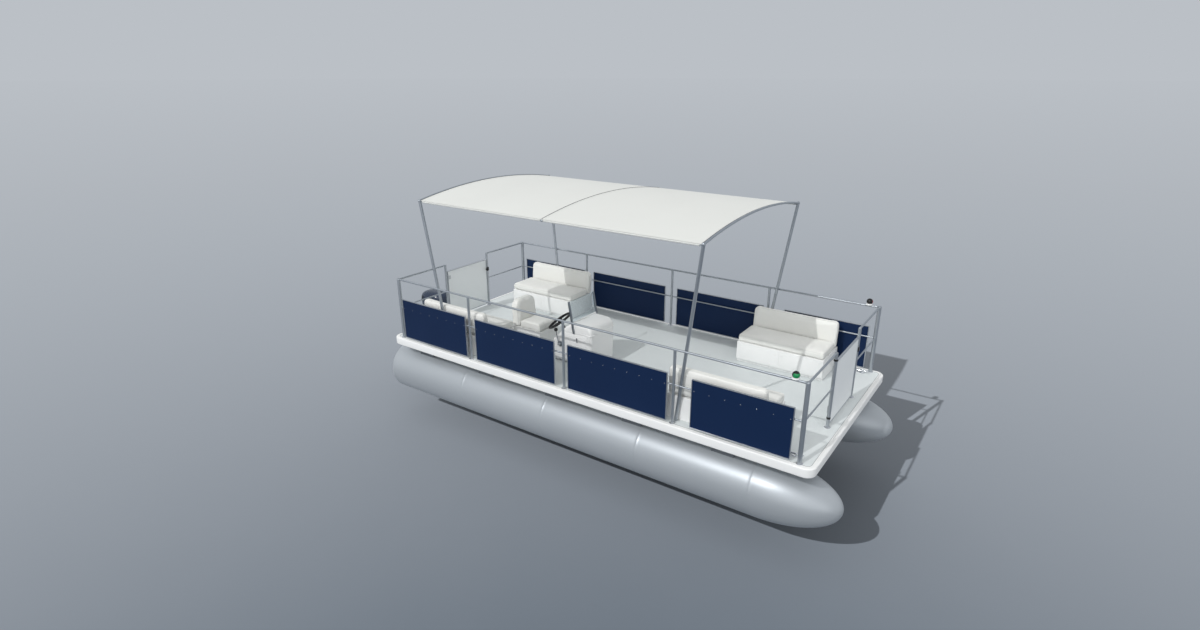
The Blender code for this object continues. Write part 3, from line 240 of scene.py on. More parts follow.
def solid(points, faces):
    """A mesh with its doubles merged and its faces turned outwards."""
    mesh = bpy.data.meshes.new("solid")
    mesh.from_pydata([tuple(point) for point in points], [], faces)
    bm = bmesh.new()
    bm.from_mesh(mesh)
    bmesh.ops.remove_doubles(bm, verts=bm.verts, dist=1e-6)
    bmesh.ops.recalc_face_normals(bm, faces=bm.faces)
    bm.to_mesh(mesh)
    bm.free()
    return mesh


def moved(mesh, place=(0, 0, 0), turn=None):
    mesh.transform(Matrix.Translation(place) @ (turn or Matrix.Identity(4)))
    return mesh


def turns(count):
    return [2 * math.pi * k / count for k in range(count)]


def skin(rings, wrap=False, caps=False):
    """A skin over rings of equally many points, which closes on itself or ends in caps."""
    count = len(rings[0])
    points = [point for ring in rings for point in ring]
    faces = []
    if caps:
        faces = [tuple(range(count))[::-1], tuple(range(len(points) - count, len(points)))]
    for i in range(len(rings) - (not wrap)):
        j = (i + 1) % len(rings)
        for k in range(count):
            m = (k + 1) % count
            faces.append((i * count + k, i * count + m, j * count + m, j * count + k))
    return solid(points, faces)


def spun(profile, segments, place=(0, 0, 0), turn=None, wrap=False):
    """A (radius, height) profile turned about Z; it ends on the axis or closes on itself."""
    rings = []
    for radius, height in profile:
        rings.append([(radius * math.cos(angle), radius * math.sin(angle), height) for angle in turns(segments)])
    return moved(skin(rings, wrap), place, turn)


def gathered(parts):
    """Several meshes as one."""
    bm = bmesh.new()
    for mesh in parts:
        bm.from_mesh(mesh)
    whole = bpy.data.meshes.new("whole")
    bm.to_mesh(whole)
    bm.free()
    return whole


def shown(name, mesh, body, smooth):
    """The mesh as a finished object that rides on its body."""
    mesh.name = name
    mesh.shade_smooth()
    mesh.set_sharp_from_angle(angle=math.radians(smooth))
    obj = linked(bpy.data.objects.new(name, mesh))
    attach(obj, body)
    return obj


def piece(name, parts, material, body="hull", nodes=(), smooth=34):
    """One finished piece, given from the deck's middle."""
    mesh = gathered(parts)
    mesh.transform(Matrix.Translation(DECK))
    mesh.materials.clear()
    mesh.materials.append(material)
    obj = shown(name, mesh, body, smooth)
    if nodes:
        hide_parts(*nodes)
    return obj


log_profile = [(0.0, LOG_SHOULDER + LOG_NOSE)]
for k in range(1, 29):
    angle = math.pi / 2 * k / 28
    log_profile.append((LOG_RADIUS * math.sin(angle), LOG_SHOULDER + LOG_NOSE * math.cos(angle)))
for joint in sorted(LOG_JOINTS + (NOSE_JOINT,), reverse=True):
    log_profile += [(LOG_RADIUS + rise, joint + along) for along, rise in LOG_BEAD]
for k in range(9):
    angle = math.pi / 2 * k / 8
    log_profile.append(
        (LOG_RADIUS - LOG_ROUNDING * (1 - math.cos(angle)), LOG_STERN + LOG_ROUNDING * (1 - math.sin(angle)))
    )
log_profile += [(LOG_RADIUS - LOG_ROUNDING - inset, LOG_STERN + rise) for inset, rise in CAP_WELD]
log_profile.append((0.0, LOG_STERN))
mill_aluminium = surface(
    "mill_aluminium", (0.455, 0.485, 0.512), (0.425, 0.455, 0.482), (0.38, 0.43), 0.40,
    patches=1.1, grain=8, stretch=(0.3, 1.5, 1.5),
)
lie_along = Matrix.Rotation(math.radians(90), 4, "Y")
for side, sign in SIDES:
    log = spun(log_profile, 112, (0, sign * LOG_Y, LOG_AXIS), lie_along)
    piece("log_" + side, [log], mill_aluminium, nodes=["pontoon_" + side])


# Under frame. Five C-section cross beams sit on welded riser brackets on the logs, tied by
# a side channel under each deck edge and two stringers that carry the motor pod.
BEAM_PLACES = [-2.440 + 1.090 * i for i in range(5)]
BEAM_HEIGHT = 0.078
BEAM_HALF_FLANGE = 0.030
BEAM_WALL = 0.006
BEAM_TOP = -0.0223
BEAM_UNDERSIDE = BEAM_TOP - BEAM_HEIGHT
FRAME_HALF_BEAM = 1.2397
FRAME_HALF_LENGTH = 2.8297
CHANNEL_HALF = 2.730
STRINGER_Y = 0.190
RISER_TOP = 0.4338
RISER_HALF_TOP = 0.100
RISER_HALF_FOOT = 0.150
RISER_LENGTH = 0.250
RISER_WALL = 0.012
ACROSS = Matrix(((0, 0, 1, 0), (1, 0, 0, 0), (0, 1, 0, 0), (0, 0, 0, 1)))
ALONG = Matrix.Rotation(math.radians(90), 4, "X")


def softened(mesh, width, segments=2, angle=30):
    """The mesh with its sharp edges rounded."""
    bm = bmesh.new()
    bm.from_mesh(mesh)
    least = math.radians(angle)
    sharp = [edge for edge in bm.edges if len(edge.link_faces) == 2 and edge.calc_face_angle(0) > least]
    bmesh.ops.bevel(
        bm, geom=sharp, offset=width, segments=segments, profile=0.5, affect="EDGES", clamp_overlap=True
    )
    bm.to_mesh(mesh)
    bm.free()
    return mesh


def slab(outline, thickness, turn=None, place=(0, 0, 0), soften=0.0, segments=2):
    """A flat piece cut to a closed outline, half its thickness each side of it."""
    mesh = skin([[(x, y, z) for x, y in outline] for z in (-thickness / 2, thickness / 2)], caps=True)
    if soften:
        softened(mesh, soften, segments)
    return moved(mesh, place, turn)


def block(low, high, soften=0.0, segments=2):
    x0, y0, z0 = low
    x1, y1, z1 = high
    points = [(x, y, z) for x in (x0, x1) for y in (y0, y1) for z in (z0, z1)]
    faces = [(0, 1, 3, 2), (4, 6, 7, 5), (0, 4, 5, 1), (2, 3, 7, 6), (0, 2, 6, 4), (1, 5, 7, 3)]
    mesh = solid(points, faces)
    return softened(mesh, soften, segments) if soften else mesh


flange, wall = BEAM_HALF_FLANGE, BEAM_WALL
beam_section = [
    (-flange, 0), (flange, 0), (flange, wall), (-flange + wall, wall), (-flange + wall, BEAM_HEIGHT - wall),
    (flange, BEAM_HEIGHT - wall), (flange, BEAM_HEIGHT), (-flange, BEAM_HEIGHT),
]
frame_parts = [
    slab(beam_section, 2 * FRAME_HALF_BEAM - 0.014, ALONG, (x, 0, BEAM_UNDERSIDE), 0.0008, 1)
    for x in BEAM_PLACES
]
for _, sign in SIDES:
    side_ys = sorted((sign * FRAME_HALF_BEAM, sign * (FRAME_HALF_BEAM - BEAM_WALL)))
    frame_parts.append(
        block(
            (-CHANNEL_HALF, side_ys[0], BEAM_UNDERSIDE + 0.002),
            (CHANNEL_HALF, side_ys[1], BEAM_TOP - 0.002), 0.001, 1,
        )
    )
    stringer_ys = (sign * STRINGER_Y - BEAM_WALL, sign * STRINGER_Y + BEAM_WALL)
    frame_parts.append(
        block(
            (-FRAME_HALF_LENGTH, stringer_ys[0], BEAM_UNDERSIDE + 0.002),
            (BEAM_PLACES[1], stringer_ys[1], BEAM_TOP - 0.002), 0.001, 1,
        )
    )
dull_channel = surface(
    "dull_channel", (0.22, 0.235, 0.25), (0.15, 0.16, 0.17), (0.42, 0.62), 1.0,
    patches=5, grain=120, bump=0.0001,
)
piece("beam_frame", frame_parts, dull_channel, nodes=["under_frame"])

foot = math.sqrt(LOG_RADIUS ** 2 - RISER_HALF_FOOT ** 2)
riser_parts = []
for _, sign in SIDES:
    for x in BEAM_PLACES:
        for half in (-1, 1):
            web = [
                (half * RISER_HALF_TOP, RISER_TOP), (half * RISER_HALF_FOOT, foot - 0.004),
                (half * (RISER_HALF_FOOT - RISER_WALL), foot - 0.004),
                (half * (RISER_HALF_TOP - RISER_WALL), RISER_TOP),
            ]
            riser_parts.append(slab(web, RISER_LENGTH, ACROSS, (x, sign * LOG_Y, LOG_AXIS), 0.0015, 1))
        cap_z = LOG_AXIS + RISER_TOP
        riser_parts.append(
            block(
                (x - RISER_LENGTH / 2, sign * LOG_Y - RISER_HALF_TOP, cap_z - RISER_WALL),
                (x + RISER_LENGTH / 2, sign * LOG_Y + RISER_HALF_TOP, cap_z), 0.0015, 1,
            )
        )
# The riser brackets take the dark channel colour, darker than the logs' metal: painted shade for the shadow under the
# deck edge.
piece("riser_brackets", riser_parts, dull_channel)


def fastener_tree(name, kind, sizes):
    """Heads set on points, each turned to its point's facing, with a fixed random spin."""
    tree = bpy.data.node_groups.new(name, "GeometryNodeTree")
    for label, form in (
        ("Geometry", "Geometry"), ("Radius", "Float"), ("Height", "Float"), ("Seed", "Int"), ("Finish", "Material"),
    ):
        tree.interface.new_socket(label, in_out="INPUT", socket_type="NodeSocket" + form)
    tree.interface.new_socket("Geometry", in_out="OUTPUT", socket_type="NodeSocketGeometry")
    given = added(tree, "NodeGroupInput", {}).outputs
    head = added(tree, kind, sizes)
    size = added(tree, "ShaderNodeCombineXYZ", {"X": given["Radius"], "Y": given["Radius"], "Z": given["Height"]})
    shaped = added(
        tree, "GeometryNodeTransform", {"Geometry": head.outputs["Mesh"], "Scale": size.outputs["Vector"]}
    )
    facing = added(tree, "GeometryNodeInputNamedAttribute", {"Name": "facing"}, data_type="FLOAT_VECTOR")
    turn = added(tree, "FunctionNodeAlignRotationToVector", {"Vector": facing.outputs["Attribute"]}, axis="Z")
    spin = added(tree, "FunctionNodeRandomValue", {"Max": math.pi, "Seed": given["Seed"]}, data_type="FLOAT")
    about = added(tree, "ShaderNodeCombineXYZ", {"Z": spin.outputs[1]})
    euler = added(tree, "FunctionNodeEulerToRotation", {"Euler": about.outputs["Vector"]})
    spun_round = added(
        tree, "FunctionNodeRotateRotation",
        {"Rotation": turn.outputs["Rotation"], "Rotate By": euler.outputs["Rotation"]}, rotation_space="LOCAL",
    )
    spread = added(
        tree, "GeometryNodeInstanceOnPoints",
        {"Points": given["Geometry"], "Instance": shaped.outputs["Geometry"],
         "Rotation": spun_round.outputs["Rotation"]},
    )
    real = added(tree, "GeometryNodeRealizeInstances", {"Geometry": spread.outputs["Instances"]})
    paint = added(
        tree, "GeometryNodeSetMaterial", {"Geometry": real.outputs["Geometry"], "Material": given["Finish"]}
    )
    added(tree, "NodeGroupOutput", {"Geometry": paint.outputs["Geometry"]})
    return tree


rivet_tree = fastener_tree("rivets", "GeometryNodeMeshUVSphere", {"Segments": 12, "Rings": 7, "Radius": 1.0})
bolt_tree = fastener_tree("bolts", "GeometryNodeMeshCylinder", {"Vertices": 6, "Radius": 1.0, "Depth": 2.0})


def fasteners(name, tree, spots, radius, height, material, body="hull", seed=7):
    """Rivet or bolt heads at (place, facing) spots, as one plain mesh."""
    mesh = bpy.data.meshes.new(name)
    mesh.from_pydata([tuple(Vector(place) + DECK) for place, _ in spots], [], [])
    facing = mesh.attributes.new("facing", "FLOAT_VECTOR", "POINT")
    for value, (_, direction) in zip(facing.data, spots):
        value.vector = direction
    carrier = linked(bpy.data.objects.new(name + "_points", mesh))
    modifier = carrier.modifiers.new("fasteners", "NODES")
    modifier.node_group = tree
    given = {"Radius": radius, "Height": height, "Seed": seed, "Finish": material}
    for item in tree.interface.items_tree:
        if item.in_out == "INPUT" and item.name in given:
            modifier[item.identifier] = given[item.name]
    graph = bpy.context.evaluated_depsgraph_get()
    made = bpy.data.meshes.new_from_object(carrier.evaluated_get(graph))
    bpy.data.objects.remove(carrier)
    return shown(name, made, body, 40)


bright_steel = surface(
    "bright_steel", (0.74, 0.75, 0.77), (0.66, 0.67, 0.69), (0.10, 0.20), 1.0,
    patches=14, grain=260, bump=0.00004,
)
frame_bolts = []
for _, sign in SIDES:
    for x in BEAM_PLACES:
        for along in (-0.085, 0.085):
            for half in (-1, 1):
                spot = (x + along, sign * LOG_Y + half * 0.075, LOG_AXIS + RISER_TOP + 0.0015)
                frame_bolts.append((spot, (0, 0, 1)))
fasteners("riser_bolts", bolt_tree, frame_bolts, 0.008, 0.003, bright_steel)


# Deck. Plywood covered in pale grey pebbled vinyl, inside a white moulded edging that caps
# the frame all round. A bead of sealant fills the joint between the two.
DECK_HALF = (2.880, 1.290)
DECK_CORNER = 0.100
EDGE_WIDTH = 0.050
EDGE_HEIGHT = 0.100
EDGE_ROUND = 0.014


def rounded(corners, steps=6):
    """A closed outline whose (x, y, radius) corners are turned into arcs."""
    outline = []
    for i, (x, y, radius) in enumerate(corners):
        here = Vector((x, y))
        if radius <= 0:
            outline.append(here)
            continue
        before = (Vector(corners[i - 1][:2]) - here).normalized()
        after = (Vector(corners[(i + 1) % len(corners)][:2]) - here).normalized()
        half = before.angle(after) / 2
        middle = here + (before + after).normalized() * (radius / math.sin(half))
        first = here + before * (radius / math.tan(half)) - middle
        last = here + after * (radius / math.tan(half)) - middle
        sweep = first.angle_signed(last)
        for k in range(steps + 1):
            outline.append(middle + Matrix.Rotation(-sweep * k / steps, 2) @ first)
    return outline


def rectangle(half_x, half_y, radius=0.0, steps=6):
    signs = ((1, 1), (-1, 1), (-1, -1), (1, -1))
    return rounded([(sx * half_x, sy * half_y, radius) for sx, sy in signs], steps)


def moulding(half_x, half_y, corner, section, turn=None, place=(0, 0, 0), steps=10):
    """A strip run round a rectangle; its section is (distance outwards, height) points."""
    rings = []
    for outwards, height in section:
        radius = max(corner + outwards, 0.0004)
        ring = rectangle(half_x + outwards, half_y + outwards, radius, steps)
        rings.append([(x, y, height) for x, y in ring])
    return moved(skin(rings, wrap=True), place, turn)


pebbled_vinyl = surface(
    "pebbled_vinyl", (0.715, 0.755, 0.757), (0.675, 0.714, 0.716), (0.52, 0.72),
    patches=2.2, grain=420, bump=0.0006, bump_grain=230,
)
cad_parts["deck"].material_slots[0].material = pebbled_vinyl

white_moulding = surface(
    "white_moulding", (0.860, 0.865, 0.855), (0.820, 0.825, 0.815), (0.40, 0.54),
    patches=2.6, grain=40, bump=0.0002, bump_grain=18, coat=0.05,
)
edge_section = []
for outwards, height, first in ((0, -EDGE_HEIGHT, 270), (0, 0, 0)):
    for k in range(7):
        angle = math.radians(first + 90 * k / 6)
        edge_section.append(
            (
                EDGE_WIDTH - EDGE_ROUND + EDGE_ROUND * math.cos(angle),
                height + (EDGE_ROUND if height < 0 else -EDGE_ROUND) + EDGE_ROUND * math.sin(angle),
            )
        )
edge_section += [(0.002, 0.0), (0.0, -0.002), (0.0, -EDGE_HEIGHT)]
inner = (DECK_HALF[0] - EDGE_WIDTH, DECK_HALF[1] - EDGE_WIDTH)
edging = moulding(inner[0], inner[1], DECK_CORNER - EDGE_WIDTH, edge_section)
piece("deck_edging", [edging], white_moulding, nodes=["deck_edge"])
sealant = surface(
    "sealant_bead", (0.30, 0.31, 0.31), (0.22, 0.23, 0.23), (0.55, 0.75), patches=8, grain=200, bump=0.0002,
)
bead_section = [(-0.0025, -0.001), (-0.0015, 0.0012), (0.0015, 0.0012), (0.0025, -0.001)]
bead = moulding(inner[0], inner[1], DECK_CORNER - EDGE_WIDTH, bead_section)
piece("deck_sealant", [bead], sealant)


# Rails. Round aluminium tube, cut and welded: a top rail and a thinner mid rail down each
# side and across each end to the gate, on posts that stand on round screwed flanges.
RAIL_X = 2.7245
RAIL_Y = 1.225
RAIL_TOP = 0.806
RAIL_MIDDLE = 0.430
RAIL_RADIUS = 0.016
TOP_TUBE = 0.0115
TOP_CENTRE = RAIL_TOP + RAIL_RADIUS - TOP_TUBE
MIDDLE_RADIUS = 0.0085
CORNER_RADIUS = 0.0225
INNER_POSTS = (-1.455, 0.000, 1.396)
FLANGE_RADIUS = 0.034
FLANGE_HEIGHT = 0.006
GATE_POST_Y = 0.410
DECK_LIFT = 0.0006


def swept(path, radius, sides=20, closed=False):
    """A round bar along a chain of points, with one radius or one for each point."""
    points = [Vector(point) for point in path]
    count = len(points)
    radii = [radius] * count if isinstance(radius, (int, float)) else radius
    tangents = []
    for i in range(count):
        before = points[i - 1] if closed or i else points[i]
        after = points[(i + 1) % count] if closed or i < count - 1 else points[i]
        tangents.append((after - before).normalized())
    across = [tangents[0].orthogonal().normalized()]
    for i in range(1, count):
        turned = tangents[i - 1].rotation_difference(tangents[i]) @ across[-1]
        across.append((turned - tangents[i] * turned.dot(tangents[i])).normalized())
    twist = 0.0
    if closed:
        back = tangents[-1].rotation_difference(tangents[0]) @ across[-1]
        twist = math.atan2(tangents[0].dot(back.cross(across[0])), back.dot(across[0]))
    rings = []
    for i in range(count):
        other = tangents[i].cross(across[i])
        ring = []
        for angle in turns(sides):
            angle += twist * i / count
            ring.append(points[i] + (across[i] * math.cos(angle) + other * math.sin(angle)) * radii[i])
        rings.append(ring)
    return skin(rings, closed, not closed)


def domed_post(x, y, radius, top):
    """A tube stood on the deck with a pressed-in domed cap."""
    dome = ((0, 0), (0.45, 0.06), (0.8, 0.24), (0.97, 0.55), (1, 0.9))
    profile = [(radius * out, top - radius * drop) for out, drop in dome]
    return spun(profile + [(radius, DECK_LIFT), (0, DECK_LIFT)], 24, (x, y, 0))


def foot_flange(x, y, radius=FLANGE_RADIUS, height=FLANGE_HEIGHT):
    profile = [
        (0, height + 0.004), (radius * 0.50, height + 0.004), (radius * 0.60, height + 0.001),
        (radius * 0.88, height * 0.85), (radius, height * 0.45), (radius, 0.0004), (0, 0.0004),
    ]
    return spun(profile, 32, (x, y, 0))


def weld_bead(centre, axis, radius, width=0.0022):
    """The ring of weld where one tube meets another."""
    axis = Vector(axis).normalized()
    first = axis.orthogonal().normalized()
    other = axis.cross(first)
    ring = [Vector(centre) + (first * math.cos(angle) + other * math.sin(angle)) * radius for angle in turns(24)]
    return swept(ring, width, 8, True)


satin_tube = surface(
    "satin_tube", (0.50, 0.53, 0.56), (0.44, 0.465, 0.495), (0.40, 0.54), 1.0,
    patches=6, grain=150, bump=0.00008,
)
flange_screws = []
bright_flanges = []
for side, sign in SIDES:
    y = sign * RAIL_Y
    parts = [
        swept([(-RAIL_X, y, TOP_CENTRE), (0, y, TOP_CENTRE), (RAIL_X, y, TOP_CENTRE)], TOP_TUBE, 24),
        swept([(-RAIL_X, y, RAIL_MIDDLE), (0, y, RAIL_MIDDLE), (RAIL_X, y, RAIL_MIDDLE)], MIDDLE_RADIUS, 20),
    ]
    for x in INNER_POSTS:
        parts.append(swept([(x, y, 0.0006), (x, y, RAIL_TOP)], RAIL_RADIUS * 0.98, 24))
        parts.append(weld_bead((x, y, TOP_CENTRE - TOP_TUBE + 0.001), (0, 0, 1), RAIL_RADIUS))
        parts += [weld_bead((x + s * RAIL_RADIUS, y, RAIL_MIDDLE), (1, 0, 0), MIDDLE_RADIUS) for s in (-1, 1)]
    for end in (-1, 1):
        x = end * RAIL_X
        parts.append(domed_post(x, y, CORNER_RADIUS, RAIL_TOP + CORNER_RADIUS))
        parts.append(weld_bead((x - end * CORNER_RADIUS, y, TOP_CENTRE), (1, 0, 0), TOP_TUBE))
        parts.append(weld_bead((x - end * CORNER_RADIUS, y, RAIL_MIDDLE), (1, 0, 0), MIDDLE_RADIUS))
    piece("side_rail_" + side, parts, satin_tube, nodes=["rail_" + side])
    for x in (-RAIL_X, *INNER_POSTS, RAIL_X):
        bright_flanges.append((x, y))
for end_name, end in ENDS:
    for side, sign in SIDES:
        x = end * RAIL_X
        start_y, end_y = sign * RAIL_Y, sign * GATE_POST_Y
        parts = [
            swept([(x, start_y, TOP_CENTRE), (x, end_y, TOP_CENTRE)], TOP_TUBE, 24),
            swept([(x, start_y, RAIL_MIDDLE), (x, end_y, RAIL_MIDDLE)], MIDDLE_RADIUS, 20),
            domed_post(x, end_y, RAIL_RADIUS * 1.02, RAIL_TOP + RAIL_RADIUS),
            weld_bead((x, start_y - sign * CORNER_RADIUS, TOP_CENTRE), (0, 1, 0), TOP_TUBE),
            weld_bead((x, start_y - sign * CORNER_RADIUS, RAIL_MIDDLE), (0, 1, 0), MIDDLE_RADIUS),
            weld_bead((x, end_y + sign * RAIL_RADIUS, RAIL_MIDDLE), (0, 1, 0), MIDDLE_RADIUS),
        ]
        name = end_name + "_" + side
        piece("return_rail_" + name, parts, satin_tube, nodes=["rail_" + name])
        bright_flanges.append((x, end_y))
flange_parts = []
for x, y in bright_flanges:
    flange_parts.append(foot_flange(x, y))
    for k in range(4):
        angle = math.pi / 4 + math.pi / 2 * k
        reach = FLANGE_RADIUS * 0.76
        spot = (x + reach * math.cos(angle), y + reach * math.sin(angle), FLANGE_HEIGHT * 0.92)
        flange_screws.append((spot, (0, 0, 1)))
piece("post_flanges", flange_parts, bright_steel)
fasteners("flange_screws", rivet_tree, flange_screws, 0.0042, 0.0018, bright_steel)


# Side panels. Thin aluminium sheet painted navy, slipped into a folded silver edging and
# riveted to the mid rail, so that a row of small bright rivet heads shows half-way up.
PANEL_LOW = 0.020
PANEL_HIGH = 0.555
PANEL_Y = 1.2453
PANEL_SPANS = ((-2.660, -1.500), (-1.345, -0.110), (0.070, 1.334), (1.605, 2.640))
PANEL_SKIN = 0.009
EDGING_WIDTH = 0.008
EDGING_DEPTH = 0.017
RIVET_PITCH = 0.155

navy_paint = surface(
    "navy_paint", (0.0070, 0.0205, 0.0640), (0.0058, 0.0175, 0.0560), (0.38, 0.52),
    patches=1.8, grain=35, bump=0.0002, bump_grain=6,
)
navy_paint.node_tree.nodes["Principled BSDF"].inputs["Specular IOR Level"].default_value = 0.12
silver_edging = surface(
    "silver_edging", (0.56, 0.58, 0.61), (0.47, 0.49, 0.52), (0.28, 0.42), 1.0,
    patches=9, grain=160, bump=0.00006,
)


def edged_sheet(half_width, half_height, skin, width, depth, turn, place):
    """A sheet and its folded edging, both upright."""
    sheet = slab(rectangle(half_width - 0.002, half_height - 0.002, 0.004, 3), skin, turn, place, 0.0006, 1)
    half = depth / 2
    section = [
        (0, -half + 0.001), (-0.001, -half), (-width + 0.0015, -half), (-width, -half + 0.0015),
        (-width, half - 0.0015), (-width + 0.0015, half), (-0.001, half), (0, half - 0.001),
    ]
    strip = moulding(half_width, half_height, 0.005, section, turn, place, 3)
    return sheet, strip


panel_rivets = []
for side, sign in SIDES:
    strips = []
    for number, (stern, bow) in enumerate(PANEL_SPANS, 1):
        middle = ((stern + bow) / 2, sign * PANEL_Y, (PANEL_LOW + PANEL_HIGH) / 2)
        sheet, strip = edged_sheet(
            (bow - stern) / 2, (PANEL_HIGH - PANEL_LOW) / 2, PANEL_SKIN, EDGING_WIDTH, EDGING_DEPTH, ALONG,
            middle,
        )
        name = "%s_%d" % (side, number)
        piece("side_panel_" + name, [sheet], navy_paint, nodes=["panel_" + name])
        strips.append(strip)
        count = round((bow - stern - 0.06) / RIVET_PITCH)
        for k in range(count + 1):
            x = stern + 0.03 + (bow - stern - 0.06) * k / count
            panel_rivets.append(((x, sign * (PANEL_Y + PANEL_SKIN / 2), RAIL_MIDDLE), (0, sign, 0)))
    piece("panel_edging_" + side, strips, silver_edging)
fasteners("panel_rivets", rivet_tree, panel_rivets, 0.0042, 0.0016, bright_steel)


# Gates. A light grey sheet in a bright folded edging, hung on two knuckle hinges on the
# starboard gate post and held at port by a black ball latch and a keeper on the post.
GATE_LOW = 0.030
GATE_HIGH = 0.720
GATE_EDGE = 0.386
GATE_SKIN = 0.014
GATE_DEPTH = 0.024
PIN_Y = -0.390
PIN_INBOARD = 0.020
HINGE_HEIGHTS = (0.160, 0.600)
KNUCKLE_LENGTH = 0.050
KNUCKLE_RADIUS = 0.008
LATCH_HEIGHT = 0.573
LATCH_BALL = 0.021

gate_paint = surface(
    "gate_paint", (0.820, 0.850, 0.860), (0.785, 0.815, 0.822), (0.34, 0.50),
    patches=2.5, grain=60, bump=0.00015,
    bump_grain=14,
)
black_moulding = surface(
    "black_moulding", (0.006, 0.006, 0.006), (0.010, 0.010, 0.011), (0.28, 0.46),
    patches=12, grain=300, bump=0.0001,
)
FACE_BOW = Matrix.Rotation(math.radians(90), 4, "Z") @ ALONG


def knob(centre, radius, turn=None):
    profile = [(radius * math.sin(math.pi * k / 14), radius * math.cos(math.pi * k / 14)) for k in range(15)]
    return spun(profile, 28, centre, turn)


for end_name, end in ENDS:
    body = end_name + "_gate"
    middle = (end * RAIL_X, 0, (GATE_LOW + GATE_HIGH) / 2)
    sheet, strip = edged_sheet(
        GATE_EDGE, (GATE_HIGH - GATE_LOW) / 2, GATE_SKIN, 0.009, GATE_DEPTH, FACE_BOW, middle
    )
    piece(end_name + "_gate_sheet", [sheet], gate_paint, body, ["gate_" + end_name])
    piece(end_name + "_gate_edging", [strip], silver_edging, body)
    pin_x = end * (RAIL_X - PIN_INBOARD)
    inboard = end * (RAIL_X - GATE_DEPTH / 2)
    hinge, lugs, screws = [], [], []
    for height in HINGE_HEIGHTS:
        hinge.append(swept([(pin_x, PIN_Y, height), (pin_x, PIN_Y, height + KNUCKLE_LENGTH)], KNUCKLE_RADIUS, 20))
        leaf_xs = sorted((inboard + end * 0.0004, inboard - end * 0.003))
        low = (leaf_xs[0], PIN_Y, height)
        hinge.append(block(low, (leaf_xs[1], -GATE_EDGE + 0.050, height + KNUCKLE_LENGTH), 0.0008, 1))
        for dz in (0.012, 0.038):
            screws.append(((inboard - end * 0.003, -GATE_EDGE + 0.036, height + dz), (-end, 0, 0)))
        for low_z in (height - 0.0123, height + KNUCKLE_LENGTH + 0.0003):
            lugs.append(
                spun(
                    [(0, 0.012), (KNUCKLE_RADIUS * 0.9, 0.012), (KNUCKLE_RADIUS, 0.011), (KNUCKLE_RADIUS, 0), (0, 0)],
                    20, (pin_x, PIN_Y, low_z),
                )
            )
            lugs.append(
                slab(
                    [(0, -0.007), (0, 0.007), (-0.026, 0.007), (-0.026, -0.007)], 0.0117,
                    Matrix.Rotation(math.atan2(PIN_Y + GATE_POST_Y, pin_x - end * RAIL_X), 4, "Z"),
                    (pin_x, PIN_Y, low_z + 0.006), 0.0008, 1,
                )
            )
    piece(end_name + "_gate_hinges", hinge, silver_edging, body)
    piece(end_name + "_hinge_lugs", lugs, silver_edging)
    fasteners(
        end_name + "_hinge_screws", rivet_tree, screws, 0.003, 0.0012, bright_steel, body,
    )
    knob_x = inboard - end * (0.008 + LATCH_BALL)
    stem_y = GATE_EDGE - 0.011
    latch = [
        knob((knob_x, stem_y, LATCH_HEIGHT), LATCH_BALL),
        swept([(inboard, stem_y, LATCH_HEIGHT), (knob_x, stem_y, LATCH_HEIGHT)], 0.008, 20),
    ]
    piece(end_name + "_latch_ball", latch, black_moulding, body)
    keeper_x = end * RAIL_X
    keeper = [
        block(
            (keeper_x - 0.021, GATE_POST_Y - 0.021, LATCH_HEIGHT - 0.026),
            (keeper_x + 0.021, GATE_POST_Y + 0.021, LATCH_HEIGHT + 0.026), 0.005, 2,
        )
    ]
    if end > 0:
        wide, wider = RAIL_RADIUS + 0.003, RAIL_RADIUS + 0.005
        ring = [(0, 0.020), (wide, 0.020), (wider, 0.017), (wider, 0.003), (wide, 0), (0, 0)]
        keeper += [spun(ring, 24, (keeper_x, -GATE_POST_Y, low_z)) for low_z in (0.095, 0.728)]
    piece(end_name + "_latch_keeper", keeper, black_moulding)


# Canopy. One acrylic sheet stretched over three bent tube bows, with a doubled and sewn
# sleeve at each bow, on two pairs of raked legs with ball knuckles and foot flanges.
CANOPY_STERN = -2.156
CANOPY_BOW = 1.647
CANOPY_HALF = 1.235
CANOPY_EDGE = 1.905
CANOPY_CROWN = 0.115
CANOPY_ARC = (CANOPY_HALF ** 2 + CANOPY_CROWN ** 2) / (2 * CANOPY_CROWN)
CANOPY_MIDDLE = (CANOPY_BOW + CANOPY_STERN) / 2
HOOP_RADIUS = 0.012
LEG_RADIUS = 0.018
LEG_RAKE = 0.250
LEG_FOOT_Y = 1.154
KNUCKLE_BALL = 0.020
SIDE_TUBE = 0.009
CLOTH_SAG = 0.009


def canopy_height(y):
    return CANOPY_EDGE + CANOPY_CROWN - CANOPY_ARC + math.sqrt(CANOPY_ARC ** 2 - y ** 2)


def arch(x, half, drop, steps=40):
    places = [-half + 2 * half * k / steps for k in range(steps + 1)]
    return [(x, y, canopy_height(y) - drop) for y in places]


for end_name, x, foot_x in (
    ("bow", CANOPY_BOW, CANOPY_BOW - LEG_RAKE),
    ("stern", CANOPY_STERN, CANOPY_STERN + LEG_RAKE),
):
    parts = [swept(arch(x, CANOPY_HALF, 0), HOOP_RADIUS, 20)]
    for _, sign in SIDES:
        corner = Vector((x, sign * CANOPY_HALF, CANOPY_EDGE))
        foot_at = Vector((foot_x, sign * LEG_FOOT_Y, 0.0035))
        parts.append(swept([foot_at, corner], LEG_RADIUS, 24))
        parts.append(knob(corner, KNUCKLE_BALL))
        sleeve = foot_at.lerp(corner, 0.020)
        parts.append(weld_bead(sleeve, corner - foot_at, LEG_RADIUS, 0.0025))
        parts.append(foot_flange(foot_x, sign * LEG_FOOT_Y, 0.0215, 0.006))
    name = "canopy_hoop_" + end_name
    piece("canopy_bow_" + end_name, parts, satin_tube, nodes=[name])
side_y = CANOPY_HALF - SIDE_TUBE
